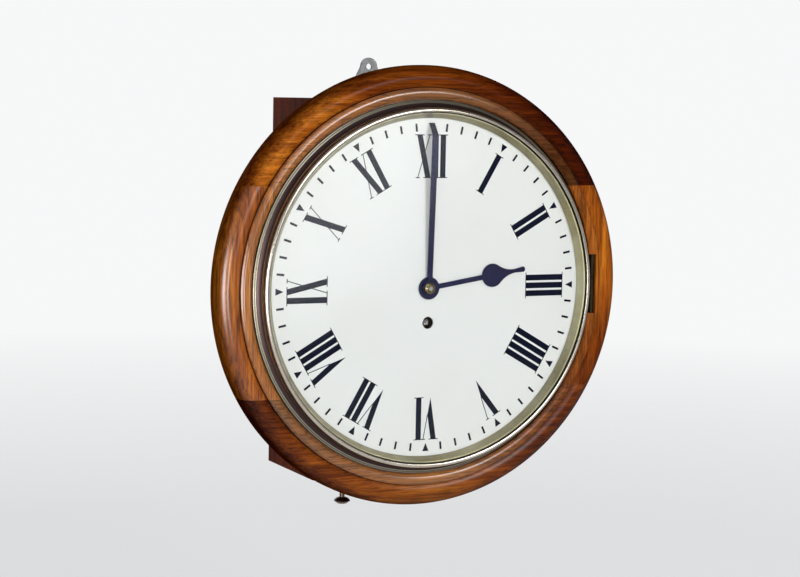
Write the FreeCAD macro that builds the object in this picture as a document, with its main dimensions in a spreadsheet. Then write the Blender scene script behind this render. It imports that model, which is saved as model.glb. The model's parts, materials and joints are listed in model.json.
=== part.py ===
import FreeCAD, Part
import math
import os
import Sketcher

# A wall-hung railway clock: round oak surround, hinged brass bezel, painted dial and a fusee movement.
# X is to the right and Z up as the dial is read. Depth is measured from the wall towards the reader,
# so a depth is minus Y. The origin is on the wall behind the middle of the dial.

DIMENSIONS = {
    # Fits that many pieces share
    "fit_gap": 0.3,
    "running_gap": 0.06,
    "cut_overrun": 3.0,
    # Back box
    "box_side_room": 3.0,
    "box_top": 160.0,
    "box_foot": 167.0,
    "box_depth": 103.0,
    "board_thickness": 9.0,
    "back_board_thickness": 10.0,
    "doorway_width": 120.0,
    "doorway_front": 94.0,
    "doorway_back": 20.0,
    # Hanger plate let into the back board
    "hanger_thickness": 2.5,
    "hanger_hole_height": 189.0,
    "hanger_hole_radius": 2.75,
    "hanger_top_round": 8.0,
    "hanger_shoulder_height": 163.0,
    "hanger_foot_height": 96.0,
    "hanger_foot_half": 21.0,
    "hanger_screw_low": 104.0,
    "hanger_screw_pitch": 17.0,
    "hanger_screw_radius": 1.7,
    "hanger_screw_length": 8.5,
    "hanger_screw_head_radius": 3.2,
    "hanger_screw_head_height": 1.2,
    # Oak surround, glued up from four boards and turned
    "surround_bore": 145.0,
    "dial_rise": 30.0,
    "moulding_width": 9.3,
    "moulding_edge_drop": 1.5,
    "moulding_round": 6.4,
    "quirk_width": 0.6,
    "quirk_drop": 3.9,
    "cushion_width": 18.6,
    "cushion_drop": 14.2,
    "surround_edge": 1.36,
    "cushion_tuck_angle": 45.0,
    "bezel_land_drop": 4.0,
    "upper_joint_height": 87.5,
    "lower_joint_height": 90.5,
    # Blocks and pegs that hold the surround to the box
    "lug_width": 15.0,
    "lug_height": 36.0,
    "lug_depth": 25.0,
    "lug_middle": 130.0,
    "peg_radius": 4.0,
    "peg_stand": 6.0,
    "peg_bite": 11.0,
    # Dial plate
    "dial_radius": 151.6,
    "dial_thickness": 1.6,
    "dial_edge_gap": 0.8,
    "dial_centre_hole": 7.0,
    "winding_hole_radius": 5.25,
    "winding_drop": 30.0,
    "dial_screw_circle": 149.3,
    "dial_screw_radius": 1.4,
    "dial_screw_length": 12.0,
    "dial_screw_head_radius": 2.1,
    "dial_screw_head_height": 1.2,
    # Brass bezel, its glass and the sight ring behind the glass
    "bezel_radius": 161.0,
    "bezel_edge_gap": 1.0,
    "bezel_rim_height": 1.9,
    "bezel_band_width": 1.8,
    "bezel_band_rise": 1.0,
    "bezel_cove_reach": 4.7,
    "bezel_cove_height": 9.8,
    "bezel_cove_round": 8.0,
    "bezel_bead_width": 3.6,
    "bezel_bead_rise": 1.8,
    "bezel_bead_round": 2.2,
    "bezel_lip_thickness": 0.6,
    "glass_thickness": 2.0,
    "glass_cover": 1.9,
    "glass_edge_gap": 0.2,
    "sight_radius": 145.6,
    "sight_edge": 0.6,
    "sight_sheet": 0.9,
    "sight_rim_width": 2.5,
    "sight_rim_height": 1.0,
    # Bezel hinge at three o'clock
    "hinge_length": 52.0,
    "hinge_axis_radius": 163.2,
    "hinge_axis_drop": 2.6,
    "hinge_knuckle_radius": 2.3,
    "hinge_pin_radius": 1.0,
    "hinge_leaf_thickness": 1.2,
    "hinge_leaf_reach": 8.2,
    "hinge_knuckle_gap": 0.3,
    "catch_width": 14.0,
    "catch_thickness": 0.5,
    "catch_height": 5.0,
    # Door in the bottom of the box, with its hinges and knob
    "door_gap": 0.5,
    "door_hinge_length": 18.0,
    "door_hinge_inset": 10.0,
    "door_hinge_leaf": 13.0,
    "door_hinge_leaf_thickness": 1.2,
    "door_hinge_radius": 1.7,
    "door_hinge_drop": 1.8,
    "door_pin_radius": 0.7,
    "knob_offset": 44.0,
    "knob_cap_radius": 7.3,
    "knob_cap_height": 5.6,
    "knob_neck_radius": 2.3,
    "knob_neck_length": 22.6,
    "knob_rose_radius": 6.0,
    "knob_rose_height": 3.0,
    "knob_spindle_radius": 2.0,
    "tongue_length": 28.0,
    "tongue_width": 8.0,
    "tongue_thickness": 1.5,
    # Movement plates and pillars
    "back_plate_depth": 58.0,
    "plate_thickness": 3.0,
    "plate_spacing": 48.0,
    "plate_left": 80.0,
    "plate_right": 36.0,
    "plate_head": 12.5,
    "plate_corner": 6.0,
    "pillar_inset": 8.0,
    "pillar_radius": 4.0,
    "pillar_waist_radius": 3.0,
    "pillar_collar": 4.0,
    "pillar_tenon_radius": 2.4,
    "pillar_tenon_stand": 6.0,
    "cross_pin_radius": 0.8,
    "cross_pin_length": 12.0,
    "foot_radius": 3.6,
    "foot_tenon_radius": 2.2,
    "foot_tenon_stand": 5.5,
    "foot_left": 70.0,
    "foot_right": 28.0,
    "foot_upper": 44.0,
    "foot_left_lower": 12.0,
    "foot_right_lower": 46.0,
    # Going train
    "great_teeth": 96,
    "centre_pinion_leaves": 8,
    "centre_teeth": 84,
    "third_pinion_leaves": 7,
    "centre_module": 0.5,
    "third_teeth": 84,
    "escape_pinion_leaves": 7,
    "third_module": 0.45,
    "third_arbor_reach": 14.5,
    "wheel_thickness": 1.5,
    "great_wheel_thickness": 2.4,
    "great_wheel_lift": 2.5,
    "third_wheel_lift": 11.0,
    "centre_wheel_lift": 42.5,
    "escape_wheel_lift": 27.0,
    "pinion_length": 6.5,
    "arbor_radius": 0.95,
    "centre_arbor_radius": 1.9,
    "pivot_radius": 0.75,
    "centre_pivot_radius": 1.3,
    "wheel_collet_radius": 3.2,
    "wheel_collet_length": 2.5,
    # Escapement
    "escape_radius": 18.0,
    "escape_teeth": 30,
    "escape_tooth_height": 3.2,
    "anchor_thickness": 4.0,
    "anchor_hub_radius": 4.2,
    # Fusee and barrel
    "fusee_large_radius": 19.5,
    "fusee_small_radius": 8.5,
    "fusee_length": 30.0,
    "fusee_turns": 11,
    "fusee_groove_depth": 0.8,
    "fusee_flange": 1.6,
    "fusee_arbor_radius": 3.4,
    "fusee_pivot_radius": 2.8,
    "fusee_stop_radius": 13.0,
    "fusee_stop_thickness": 2.0,
    "fusee_ratchet_radius": 14.0,
    "fusee_ratchet_teeth": 20,
    "ratchet_thickness": 2.0,
    "ratchet_tooth_height": 1.4,
    "winding_square": 4.6,
    "winding_square_setback": 2.9,
    "barrel_reach": 52.0,
    "barrel_drop": 40.0,
    "barrel_radius": 23.5,
    "barrel_wall": 1.4,
    "barrel_length": 40.0,
    "barrel_cap_thickness": 1.8,
    "barrel_lift": 3.0,
    "barrel_arbor_radius": 5.0,
    "barrel_pivot_radius": 3.0,
    "setup_ratchet_radius": 10.0,
    "setup_ratchet_teeth": 22,
    "setup_square_radius": 2.6,
    "setup_square_stand": 7.0,
    "click_length": 15.0,
    "click_width": 5.0,
    "mainspring_thickness": 0.5,
    "mainspring_turns": 6,
    "line_radius": 0.6,
    # Back cock, pallets and pendulum
    "cock_half_width": 20.0,
    "cock_leg_width": 8.0,
    "cock_height": 9.0,
    "cock_bar": 3.0,
    "cock_stand": 15.0,
    "cock_arm_half": 4.0,
    "cock_arm_reach": 8.5,
    "suspension_slot": 1.8,
    "suspension_thickness": 0.25,
    "suspension_width": 5.0,
    "suspension_length": 12.0,
    "suspension_block": 4.6,
    "suspension_block_height": 3.0,
    "crutch_length": 40.0,
    "crutch_radius": 1.1,
    "crutch_setback": 6.0,
    "crutch_fork_half": 3.6,
    "pendulum_length": 172.6,
    "pendulum_setback": 20.0,
    "pendulum_rod_radius": 1.6,
    "pendulum_end": 209.0,
    "bob_radius": 26.0,
    "bob_half_thickness": 9.0,
    "bob_edge_half": 1.2,
    "nut_radius": 6.0,
    "nut_height": 4.5,
    # Motion work and hands
    "motion_reach": 18.0,
    "cannon_leaves": 12,
    "minute_teeth": 36,
    "minute_pinion_leaves": 10,
    "hour_teeth": 40,
    "cannon_lift": 1.4,
    "cannon_length": 4.0,
    "cannon_pipe_radius": 3.0,
    "minute_wheel_lift": 2.2,
    "minute_pinion_length": 5.6,
    "hour_wheel_lift": 7.2,
    "hour_pipe_radius": 5.4,
    "bridge_lift": 5.8,
    "bridge_thickness": 1.1,
    "bridge_half_width": 4.6,
    "bridge_reach": 21.0,
    "bridge_pipe_radius": 4.1,
    "bridge_pipe_length": 9.0,
    "bridge_leg_radius": 2.4,
    "minute_post_radius": 1.4,
    "hand_thickness": 0.9,
    "hour_hand_rise": 0.5,
    "hour_hand_angle": 80.9,
    "hour_boss_radius": 9.75,
    "hour_bar_half": 2.15,
    "hour_spade_place": 62.0,
    "hour_spade_radius": 10.2,
    "hour_neck_place": 84.5,
    "hour_neck_half": 1.6,
    "hour_tip_place": 92.8,
    "hour_tip_round": 1.2,
    "hour_tip_half": 2.4,
    "hour_hand_length": 94.2,
    "minute_hand_rise": 1.8,
    "minute_boss_radius": 7.0,
    "minute_bar_half": 2.5,
    "minute_end_half": 2.8,
    "minute_tip_length": 9.5,
    "minute_bend_rise": 5.2,
    "minute_hand_length": 141.0,
    "minute_tip_dip": 3.5,
    "minute_tip_half": 2.3,
    "collet_radius": 4.8,
    "collet_height": 1.7,
    "hand_pin_radius": 0.45,
    "hand_pin_half_length": 3.4,
}

doc = FreeCAD.newDocument("railway_clock")
sheet = doc.addObject("Spreadsheet::Sheet", "dims")
for row, (alias, number) in enumerate(DIMENSIONS.items(), start=1):
    sheet.set(f"A{row}", alias)
    sheet.set(f"B{row}", str(number))
    sheet.setAlias(f"B{row}", alias)
doc.recompute()


class Size:
    """A number that the model uses: its value, and the expression that gives it."""

    def __init__(self, value, text):
        self.value = float(value)
        self.text = text

    def __add__(self, other):
        other = as_size(other)
        return Size(self.value + other.value, f"({self.text} + {other.text})")

    def __sub__(self, other):
        other = as_size(other)
        return Size(self.value - other.value, f"({self.text} - {other.text})")

    def __mul__(self, other):
        other = as_size(other)
        return Size(self.value * other.value, f"({self.text} * {other.text})")

    def __truediv__(self, other):
        other = as_size(other)
        return Size(self.value / other.value, f"({self.text} / {other.text})")

    def __radd__(self, other):
        return as_size(other) + self

    def __rsub__(self, other):
        return as_size(other) - self

    def __rmul__(self, other):
        return as_size(other) * self

    def __neg__(self):
        return Size(-self.value, f"(0 - {self.text})")


def as_size(number):
    return number if isinstance(number, Size) else Size(number, str(number))


def root(size):
    return Size(math.sqrt(size.value), f"sqrt({size.text})")


def cosine(angle):
    return Size(math.cos(math.radians(angle.value)), f"cos({angle.text})")


def sine(angle):
    return Size(math.sin(math.radians(angle.value)), f"sin({angle.text})")


class Sheet:
    """Gives each cell of the spreadsheet as a Size, by its alias."""

    def __getattr__(self, alias):
        return Size(sheet.get(alias), "dims." + alias)


d = Sheet()
ZERO = as_size(0)
FACING = FreeCAD.Rotation(FreeCAD.Vector(1, 0, 0), 90)
UPRIGHT = FreeCAD.Rotation()
SIDEWAYS = FreeCAD.Rotation(FreeCAD.Vector(0, 1, 0), 90)
NORMAL = FreeCAD.Vector(0, 0, 1)

# Helpers that make one solid each


def bind(thing, path, size):
    thing.setExpression(path, as_size(size).text)


def place(thing, x, depth, z, turn=FACING):
    """Puts a thing at x and z, so far from the wall, with its own third axis towards the reader."""
    thing.Placement = FreeCAD.Placement(FreeCAD.Vector(), turn)
    bind(thing, "Placement.Base.x", x)
    bind(thing, "Placement.Base.y", -as_size(depth))
    bind(thing, "Placement.Base.z", z)


def limit(sketch, constraint, size):
    number = sketch.addConstraint(constraint)
    sketch.setExpression(f"Constraints[{number}]", size.text)


def hold_point(sketch, side, end, x, y):
    """Ties a point of a sketch to its two sizes."""
    if x.text == "0":
        sketch.addConstraint(Sketcher.Constraint("PointOnObject", side, end, -2))
    else:
        limit(sketch, Sketcher.Constraint("DistanceX", -1, 1, side, end, x.value), x)
    if y.text == "0":
        sketch.addConstraint(Sketcher.Constraint("PointOnObject", side, end, -1))
    else:
        limit(sketch, Sketcher.Constraint("DistanceY", -1, 1, side, end, y.value), y)


def arc_between(start, end, radius):
    """The short arc from start to end, turning left for a positive radius and right for a negative one."""
    if radius < 0:
        start, end = end, start
    span = end - start
    left = FreeCAD.Vector(-span.y, span.x, 0).normalize()
    rise = math.sqrt(max(radius * radius - span.Length * span.Length / 4, 0))
    centre = (start + end) * 0.5 + left * rise
    first = math.atan2(start.y - centre.y, start.x - centre.x)
    last = math.atan2(end.y - centre.y, end.x - centre.x)
    return Part.ArcOfCircle(Part.Circle(centre, NORMAL, abs(radius)), first, last)


def draw_outline(sketch, corners):
    """Draws a closed outline. A corner is (x, y), or (x, y, radius) where the side leaving it is round."""
    corners = [tuple(as_size(part) for part in corner) for corner in corners]
    points = [FreeCAD.Vector(corner[0].value, corner[1].value, 0) for corner in corners]
    ends = []
    for number, corner in enumerate(corners):
        start = points[number]
        end = points[(number + 1) % len(points)]
        if len(corner) == 2:
            side = sketch.addGeometry(Part.LineSegment(start, end), False)
            ends.append((side, 1, 2))
        else:
            side = sketch.addGeometry(arc_between(start, end, corner[2].value), False)
            ends.append((side, 1, 2) if corner[2].value > 0 else (side, 2, 1))
    for number, corner in enumerate(corners):
        side, first, last = ends[number]
        after, after_first, after_last = ends[(number + 1) % len(ends)]
        sketch.addConstraint(Sketcher.Constraint("Coincident", side, last, after, after_first))
    for number, corner in enumerate(corners):
        side, first, last = ends[number]
        hold_point(sketch, side, first, corner[0], corner[1])
        if len(corner) == 3:
            radius = corner[2] if corner[2].value > 0 else -corner[2]
            limit(sketch, Sketcher.Constraint("Radius", side, radius.value), radius)


def draw_circle(sketch, x, y, radius):
    x, y, radius = as_size(x), as_size(y), as_size(radius)
    circle = Part.Circle(FreeCAD.Vector(x.value, y.value, 0), NORMAL, radius.value)
    side = sketch.addGeometry(circle, False)
    limit(sketch, Sketcher.Constraint("Radius", side, radius.value), radius)
    hold_point(sketch, side, 3, x, y)


def new_sketch(body, role):
    sketch = body.newObject("Sketcher::SketchObject", body.Name + "_sketch")
    plane = [feature for feature in body.Origin.OriginFeatures if feature.Role == role][0]
    sketch.AttachmentSupport = [(plane, "")]
    sketch.MapMode = "FlatFace"
    return sketch


def turned(name, profile, x=ZERO, depth=ZERO, z=ZERO, turn=FACING):
    """A piece turned about its own third axis. The profile's corners are (radius, height, round)."""
    body = doc.addObject("PartDesign::Body", name)
    sketch = new_sketch(body, "XZ_Plane")
    draw_outline(sketch, profile)
    revolution = body.newObject("PartDesign::Revolution", name + "_turning")
    revolution.Profile = sketch
    revolution.ReferenceAxis = (sketch, ["V_Axis"])
    revolution.Angle = 360
    place(body, x, depth, z, turn)
    return body


def plate(name, outline, thickness, x=ZERO, depth=ZERO, z=ZERO, holes=(), turn=FACING, plane="XY_Plane"):
    """A flat piece. Its outline is a list of corners or one radius, and its holes are (x, y, radius)."""
    body = doc.addObject("PartDesign::Body", name)
    sketch = new_sketch(body, plane)
    if isinstance(outline, Size):
        draw_circle(sketch, ZERO, ZERO, outline)
    else:
        draw_outline(sketch, outline)
    for hole in holes:
        draw_circle(sketch, *hole)
    pad = body.newObject("PartDesign::Pad", name + "_pad")
    pad.Profile = sketch
    bind(pad, "Length", thickness)
    place(body, x, depth, z, turn)
    return body


def board(name, left, right, back, front, low, high):
    """A rectangular block between six named faces."""
    block = doc.addObject("Part::Box", name)
    bind(block, "Length", right - left)
    bind(block, "Width", front - back)
    bind(block, "Height", high - low)
    place(block, left, front, low, UPRIGHT)
    return block


def rod(name, radius, back, front, x=ZERO, z=ZERO):
    """A round bar that runs from one depth to another."""
    bar = doc.addObject("Part::Cylinder", name)
    bind(bar, "Radius", radius)
    bind(bar, "Height", front - back)
    place(bar, x, back, z, FACING)
    return bar


def bar_across(name, radius, left, right, depth, z):
    """A round bar that runs from left to right."""
    bar = doc.addObject("Part::Cylinder", name)
    bind(bar, "Radius", radius)
    bind(bar, "Height", right - left)
    place(bar, left, depth, z, SIDEWAYS)
    return bar


def bar_up(name, radius, low, high, x, depth):
    """A round bar that stands upright."""
    bar = doc.addObject("Part::Cylinder", name)
    bind(bar, "Radius", radius)
    bind(bar, "Height", high - low)
    place(bar, x, depth, low, UPRIGHT)
    return bar


def fused(name, *pieces):
    union = doc.addObject("Part::MultiFuse", name)
    union.Shapes = list(pieces)
    return union


def less(name, base, *tools):
    """The base with its tools cut away."""
    tool = tools[0] if len(tools) == 1 else fused(name + "_tools", *tools)
    result = doc.addObject("Part::Cut", name)
    result.Base = base
    result.Tool = tool
    return result


def shared(name, first, second):
    result = doc.addObject("Part::Common", name)
    result.Base = first
    result.Tool = second
    return result


def group(name, *pieces):
    gathered = doc.addObject("Part::Compound", name)
    gathered.Links = list(pieces)
    return gathered


def shaped(name, shape, x=ZERO, depth=ZERO, z=ZERO):
    """A piece whose outline comes from a formula, placed like the others."""
    feature = doc.addObject("Part::Feature", name)
    feature.Shape = shape
    place(feature, x, depth, z)
    return feature


def prism(points, thickness, holes=()):
    """A flat piece from the points of a formula, less its holes."""
    wire = Part.makePolygon(points + points[:1])
    face = Part.Face(wire)
    for hole in holes:
        face = face.cut(hole)
    return face.extrude(FreeCAD.Vector(0, 0, thickness.value))


def disc_face(radius):
    return Part.Face(Part.Wire(Part.makeCircle(radius)))


def polar(radius, angle):
    return FreeCAD.Vector(radius * math.cos(angle), radius * math.sin(angle), 0)


# Teeth. Flanks are radial below the pitch circle and meet in a point above it, as cut clock teeth do.
WHEEL_TOOTH_SHARE = 0.44
PINION_LEAF_SHARE = 0.34
WHEEL_ADDENDUM_SHARE = 1.1
PINION_ADDENDUM_SHARE = 0.7
DEDENDUM_SHARE = 1.45
RIM_SHARE = 2.6
ARM_SHARE = 0.055
HUB_SHARE = 0.24
CROSSINGS = 4


def tooth_points(teeth, module, phase, thickness_share, addendum_share):
    pitch = module * teeth / 2
    step = 2 * math.pi / teeth
    half = step * thickness_share / 2
    low = pitch - module * DEDENDUM_SHARE
    points = []
    for tooth in range(teeth):
        middle = phase + tooth * step
        points.append(polar(low, middle - half))
        points.append(polar(pitch, middle - half))
        points.append(polar(pitch + module * addendum_share, middle))
        points.append(polar(pitch, middle + half))
        points.append(polar(low, middle + half))
    return points


def crossing_face(inner, outer, arm_half, middle):
    """One opening between two straight arms of a wheel."""
    inner_turn = math.pi / CROSSINGS - math.asin(arm_half / inner)
    outer_turn = math.pi / CROSSINGS - math.asin(arm_half / outer)
    first = polar(outer, middle - outer_turn)
    second = polar(outer, middle + outer_turn)
    third = polar(inner, middle + inner_turn)
    fourth = polar(inner, middle - inner_turn)
    edges = [
        Part.Arc(first, polar(outer, middle), second).toShape(),
        Part.LineSegment(second, third).toShape(),
        Part.Arc(third, polar(inner, middle), fourth).toShape(),
        Part.LineSegment(fourth, first).toShape(),
    ]
    return Part.Face(Part.Wire(edges))


def wheel_shape(teeth, module, thickness, phase, bore):
    """A crossed-out wheel with four arms."""
    count = int(teeth.value)
    pitch = module.value * count / 2
    holes = [disc_face(bore.value)]
    inner = pitch * HUB_SHARE
    outer = pitch - module.value * RIM_SHARE - module.value
    for crossing in range(CROSSINGS):
        middle = (crossing + 0.5) * 2 * math.pi / CROSSINGS
        holes.append(crossing_face(inner, outer, pitch * ARM_SHARE, middle))
    points = tooth_points(count, module.value, phase, WHEEL_TOOTH_SHARE, WHEEL_ADDENDUM_SHARE)
    return prism(points, thickness, holes)


def pinion_shape(leaves, module, length, phase, bore=None):
    points = tooth_points(int(leaves.value), module.value, phase, PINION_LEAF_SHARE, PINION_ADDENDUM_SHARE)
    return prism(points, length, [disc_face(bore.value)] if bore else [])


def ratchet_shape(teeth, radius, height, thickness, bore):
    """A saw-toothed wheel, steep on one side."""
    points = []
    for tooth in range(int(teeth.value)):
        angle = math.pi / 2 + tooth * 2 * math.pi / teeth.value
        points.append(polar(radius.value - height.value, angle))
        points.append(polar(radius.value, angle))
    return prism(points, thickness, [disc_face(bore.value)])


def facing_phases(from_x, from_z, to_x, to_z, teeth):
    """Angles that put a tooth of one wheel in a gap of the other, on their line of centres."""
    line = math.atan2((to_z - from_z).value, (to_x - from_x).value)
    return line, line + math.pi + math.pi / teeth.value


# Places that several pieces share
box_inside = d.plate_left + d.box_side_room
box_half = box_inside + d.board_thickness
box_floor = d.board_thickness - d.box_foot
dial_front = d.box_depth + d.dial_rise
dial_back = dial_front - d.dial_thickness
bezel_land = dial_front - d.bezel_land_drop
groove_radius = d.bezel_radius + d.bezel_edge_gap
back_plate_front = d.back_plate_depth + d.plate_thickness
front_plate_back = back_plate_front + d.plate_spacing
front_plate_front = front_plate_back + d.plate_thickness
doorway_half = d.doorway_width / 2

# Surround: one turned ring, sawn where its four boards meet
CUSHION_ROUND_SHARE = 0.672
moulding_radius = groove_radius + d.moulding_width
moulding_edge = dial_front - d.moulding_edge_drop
cushion_start = moulding_radius + d.quirk_width
surround_radius = cushion_start + d.cushion_width
cushion_round = d.cushion_width * CUSHION_ROUND_SHARE
cushion_middle = surround_radius - cushion_round
cushion_depth = dial_front - d.cushion_drop
cushion_inset = cushion_middle - cushion_start
cushion_top = cushion_depth + root(cushion_round * cushion_round - cushion_inset * cushion_inset)
tuck_radius = cushion_middle + cushion_round * cosine(d.cushion_tuck_angle)
tuck_depth = d.box_depth + d.surround_edge
wall_depth = tuck_depth + cushion_round * sine(d.cushion_tuck_angle)
step_radius = d.dial_radius + d.dial_edge_gap
surround = turned("surround", [
    (d.surround_bore, d.box_depth),
    (tuck_radius, d.box_depth),
    (tuck_radius, tuck_depth, cushion_round),
    (surround_radius, wall_depth),
    (surround_radius, cushion_depth, cushion_round),
    (cushion_start, cushion_top),
    (moulding_radius + d.quirk_width / 2, dial_front - d.quirk_drop),
    (moulding_radius, moulding_edge, d.moulding_round),
    (groove_radius, moulding_edge),
    (groove_radius, bezel_land),
    (step_radius, bezel_land),
    (step_radius, dial_back),
    (d.surround_bore, dial_back),
])
reach = surround_radius + d.cut_overrun
saw_back = d.box_depth - d.cut_overrun
saw_front = dial_front + d.cut_overrun
screw_wood_radius = d.dial_screw_radius + d.running_gap
dial_screw_places = {
    "top": (ZERO, d.dial_screw_circle),
    "bottom": (ZERO, -d.dial_screw_circle),
    "left": (-d.dial_screw_circle, ZERO),
    "right": (d.dial_screw_circle, ZERO),
}
screw_floor = dial_front - d.dial_screw_length - d.fit_gap
screw_holes = {
    side: rod(f"{side}_screw_hole", screw_wood_radius, screw_floor, dial_front, *spot)
    for side, spot in dial_screw_places.items()
}
board_faces = {
    "top": (-reach, reach, d.upper_joint_height, reach),
    "bottom": (-reach, reach, -reach, -d.lower_joint_height),
    "left": (-reach, ZERO, -d.lower_joint_height, d.upper_joint_height),
    "right": (ZERO, reach, -d.lower_joint_height, d.upper_joint_height),
}
hinge_half = d.hinge_length / 2
hinge_depth = dial_front - d.hinge_axis_drop
hinge_room = d.hinge_knuckle_radius + d.fit_gap
leaf_start = d.hinge_axis_radius - d.hinge_leaf_reach
mortise_floor = bezel_land - d.hinge_leaf_thickness
knuckle_slot = board(
    "knuckle_slot", d.hinge_axis_radius - hinge_room, d.hinge_axis_radius + hinge_room,
    hinge_depth - hinge_room, saw_front, -hinge_half - d.fit_gap, hinge_half + d.fit_gap,
)
leaf_mortise = board(
    "leaf_mortise", leaf_start - d.fit_gap, d.hinge_axis_radius, mortise_floor, saw_front,
    -hinge_half - d.fit_gap, hinge_half + d.fit_gap,
)
surround_boards = {}
for side, (left, right, low, high) in board_faces.items():
    sector = board(f"{side}_sector", left, right, saw_back, saw_front, low, high)
    sawn = shared(f"{side}_sawn", surround, sector)
    tools = [screw_holes[side]]
    if side == "right":
        tools += [knuckle_slot, leaf_mortise]
    surround_boards[side] = less(f"surround_{side}", sawn, *tools)

# Back box
peg_hole_radius = d.peg_radius + d.running_gap
peg_depth = d.box_depth - d.lug_depth / 2
lug_outer = box_inside
lug_inner = lug_outer - d.lug_width
peg_end = box_half - d.board_thickness - d.peg_bite
peg_holes = []
lugs = []
pegs = []
for hand, wide in ((-1, "left"), (1, "right")):
    for lift, level in ((1, "upper"), (-1, "lower")):
        height = lift * d.lug_middle
        ends = [hand * (peg_end - d.fit_gap), hand * (box_half + d.cut_overrun)]
        ends.sort(key=lambda size: size.value)
        hole = bar_across(f"{wide}_{level}_peg_hole", peg_hole_radius, ends[0], ends[1], peg_depth, height)
        peg_holes.append(hole)
        faces = sorted((hand * lug_inner, hand * lug_outer), key=lambda s: s.value)
        block = board(
            f"{wide}_{level}_block", faces[0], faces[1], d.box_depth - d.lug_depth, d.box_depth,
            height - d.lug_height / 2, height + d.lug_height / 2,
        )
        lugs.append(less(f"{wide}_{level}_lug", block, hole))
        ends = sorted((hand * peg_end, hand * (box_half + d.peg_stand)), key=lambda s: s.value)
        pegs.append(bar_across(f"{wide}_{level}_peg", d.peg_radius, ends[0], ends[1], peg_depth, height))
surround_lugs = group("surround_lugs", *lugs)
case_pegs = group("case_pegs", *pegs)

left_board = board("left_board", -box_half, -box_inside, ZERO, d.box_depth, -d.box_foot, d.box_top)
box_side_left = less("box_side_left", left_board, *peg_holes[:2])
right_board = board("right_board", box_inside, box_half, ZERO, d.box_depth, -d.box_foot, d.box_top)
box_side_right = less("box_side_right", right_board, *peg_holes[2:])


def hanger_outline(grow):
    foot = d.hanger_foot_half + grow
    top_round = d.hanger_top_round + grow
    top = d.hanger_hole_height + top_round
    return [
        (-foot, d.hanger_foot_height - grow),
        (foot, d.hanger_foot_height - grow),
        (foot, d.hanger_shoulder_height),
        (top_round, d.hanger_hole_height, top_round),
        (ZERO, top, top_round),
        (-top_round, d.hanger_hole_height),
        (-foot, d.hanger_shoulder_height),
    ]


hanger_screw_heights = [d.hanger_screw_low + d.hanger_screw_pitch * number for number in range(3)]
hanger_screw_list = []
hanger_screw_rooms = []
for number, height in enumerate(hanger_screw_heights):
    hanger_screw_list.append(turned(f"hanger_screw_{number}", [
        (ZERO, ZERO),
        (d.hanger_screw_head_radius, ZERO),
        (d.hanger_screw_radius, d.hanger_screw_head_height),
        (d.hanger_screw_radius, d.hanger_screw_length),
        (ZERO, d.hanger_screw_length),
    ], z=height))
    room = d.hanger_screw_radius + d.running_gap
    hanger_screw_rooms.append(turned(f"hanger_screw_room_{number}", [
        (ZERO, ZERO),
        (d.hanger_screw_head_radius + d.running_gap, ZERO),
        (room, d.hanger_screw_head_height + d.running_gap),
        (room, d.hanger_screw_length + d.fit_gap),
        (ZERO, d.hanger_screw_length + d.fit_gap),
    ], z=height))
hanger_hole = [(ZERO, d.hanger_hole_height, d.hanger_hole_radius)]
hanger_blank = plate("hanger_blank", hanger_outline(ZERO), d.hanger_thickness, holes=hanger_hole)
hanger_plate = less("hanger_plate", hanger_blank, *hanger_screw_rooms)
hanger_recess = plate("hanger_recess", hanger_outline(d.running_gap), d.hanger_thickness)

top_low = d.box_top - d.board_thickness
top_board = board("top_board", -box_inside, box_inside, ZERO, d.box_depth, top_low, d.box_top)
box_top = less("box_top", top_board, hanger_recess)
back_blank = board("back_blank", -box_inside, box_inside, ZERO, d.back_board_thickness, box_floor, top_low)
back_board = less("back_board", back_blank, hanger_recess, *hanger_screw_rooms)
foot_board = board("foot_board", -box_inside, box_inside, ZERO, d.box_depth, -d.box_foot, box_floor)
doorway = board(
    "doorway", -doorway_half, doorway_half, d.doorway_back, d.doorway_front,
    -d.box_foot - d.cut_overrun, box_floor + d.cut_overrun,
)
box_bottom = less("box_bottom", foot_board, doorway)

# Bottom door: hinged on the right, with a turned knob that works a tongue inside
door_right = doorway_half - d.door_gap
door_back = d.doorway_back + d.door_gap
door_front = d.doorway_front - d.door_gap
door_middle = (d.doorway_back + d.doorway_front) / 2
spindle_room = bar_up(
    "spindle_room", d.knob_spindle_radius + d.running_gap, -d.box_foot - d.cut_overrun,
    box_floor + d.cut_overrun, -d.knob_offset, door_middle,
)
door_panel = board("door_panel", -door_right, door_right, door_back, door_front, -d.box_foot, box_floor)
bottom_door = less("bottom_door", door_panel, spindle_room)

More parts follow.
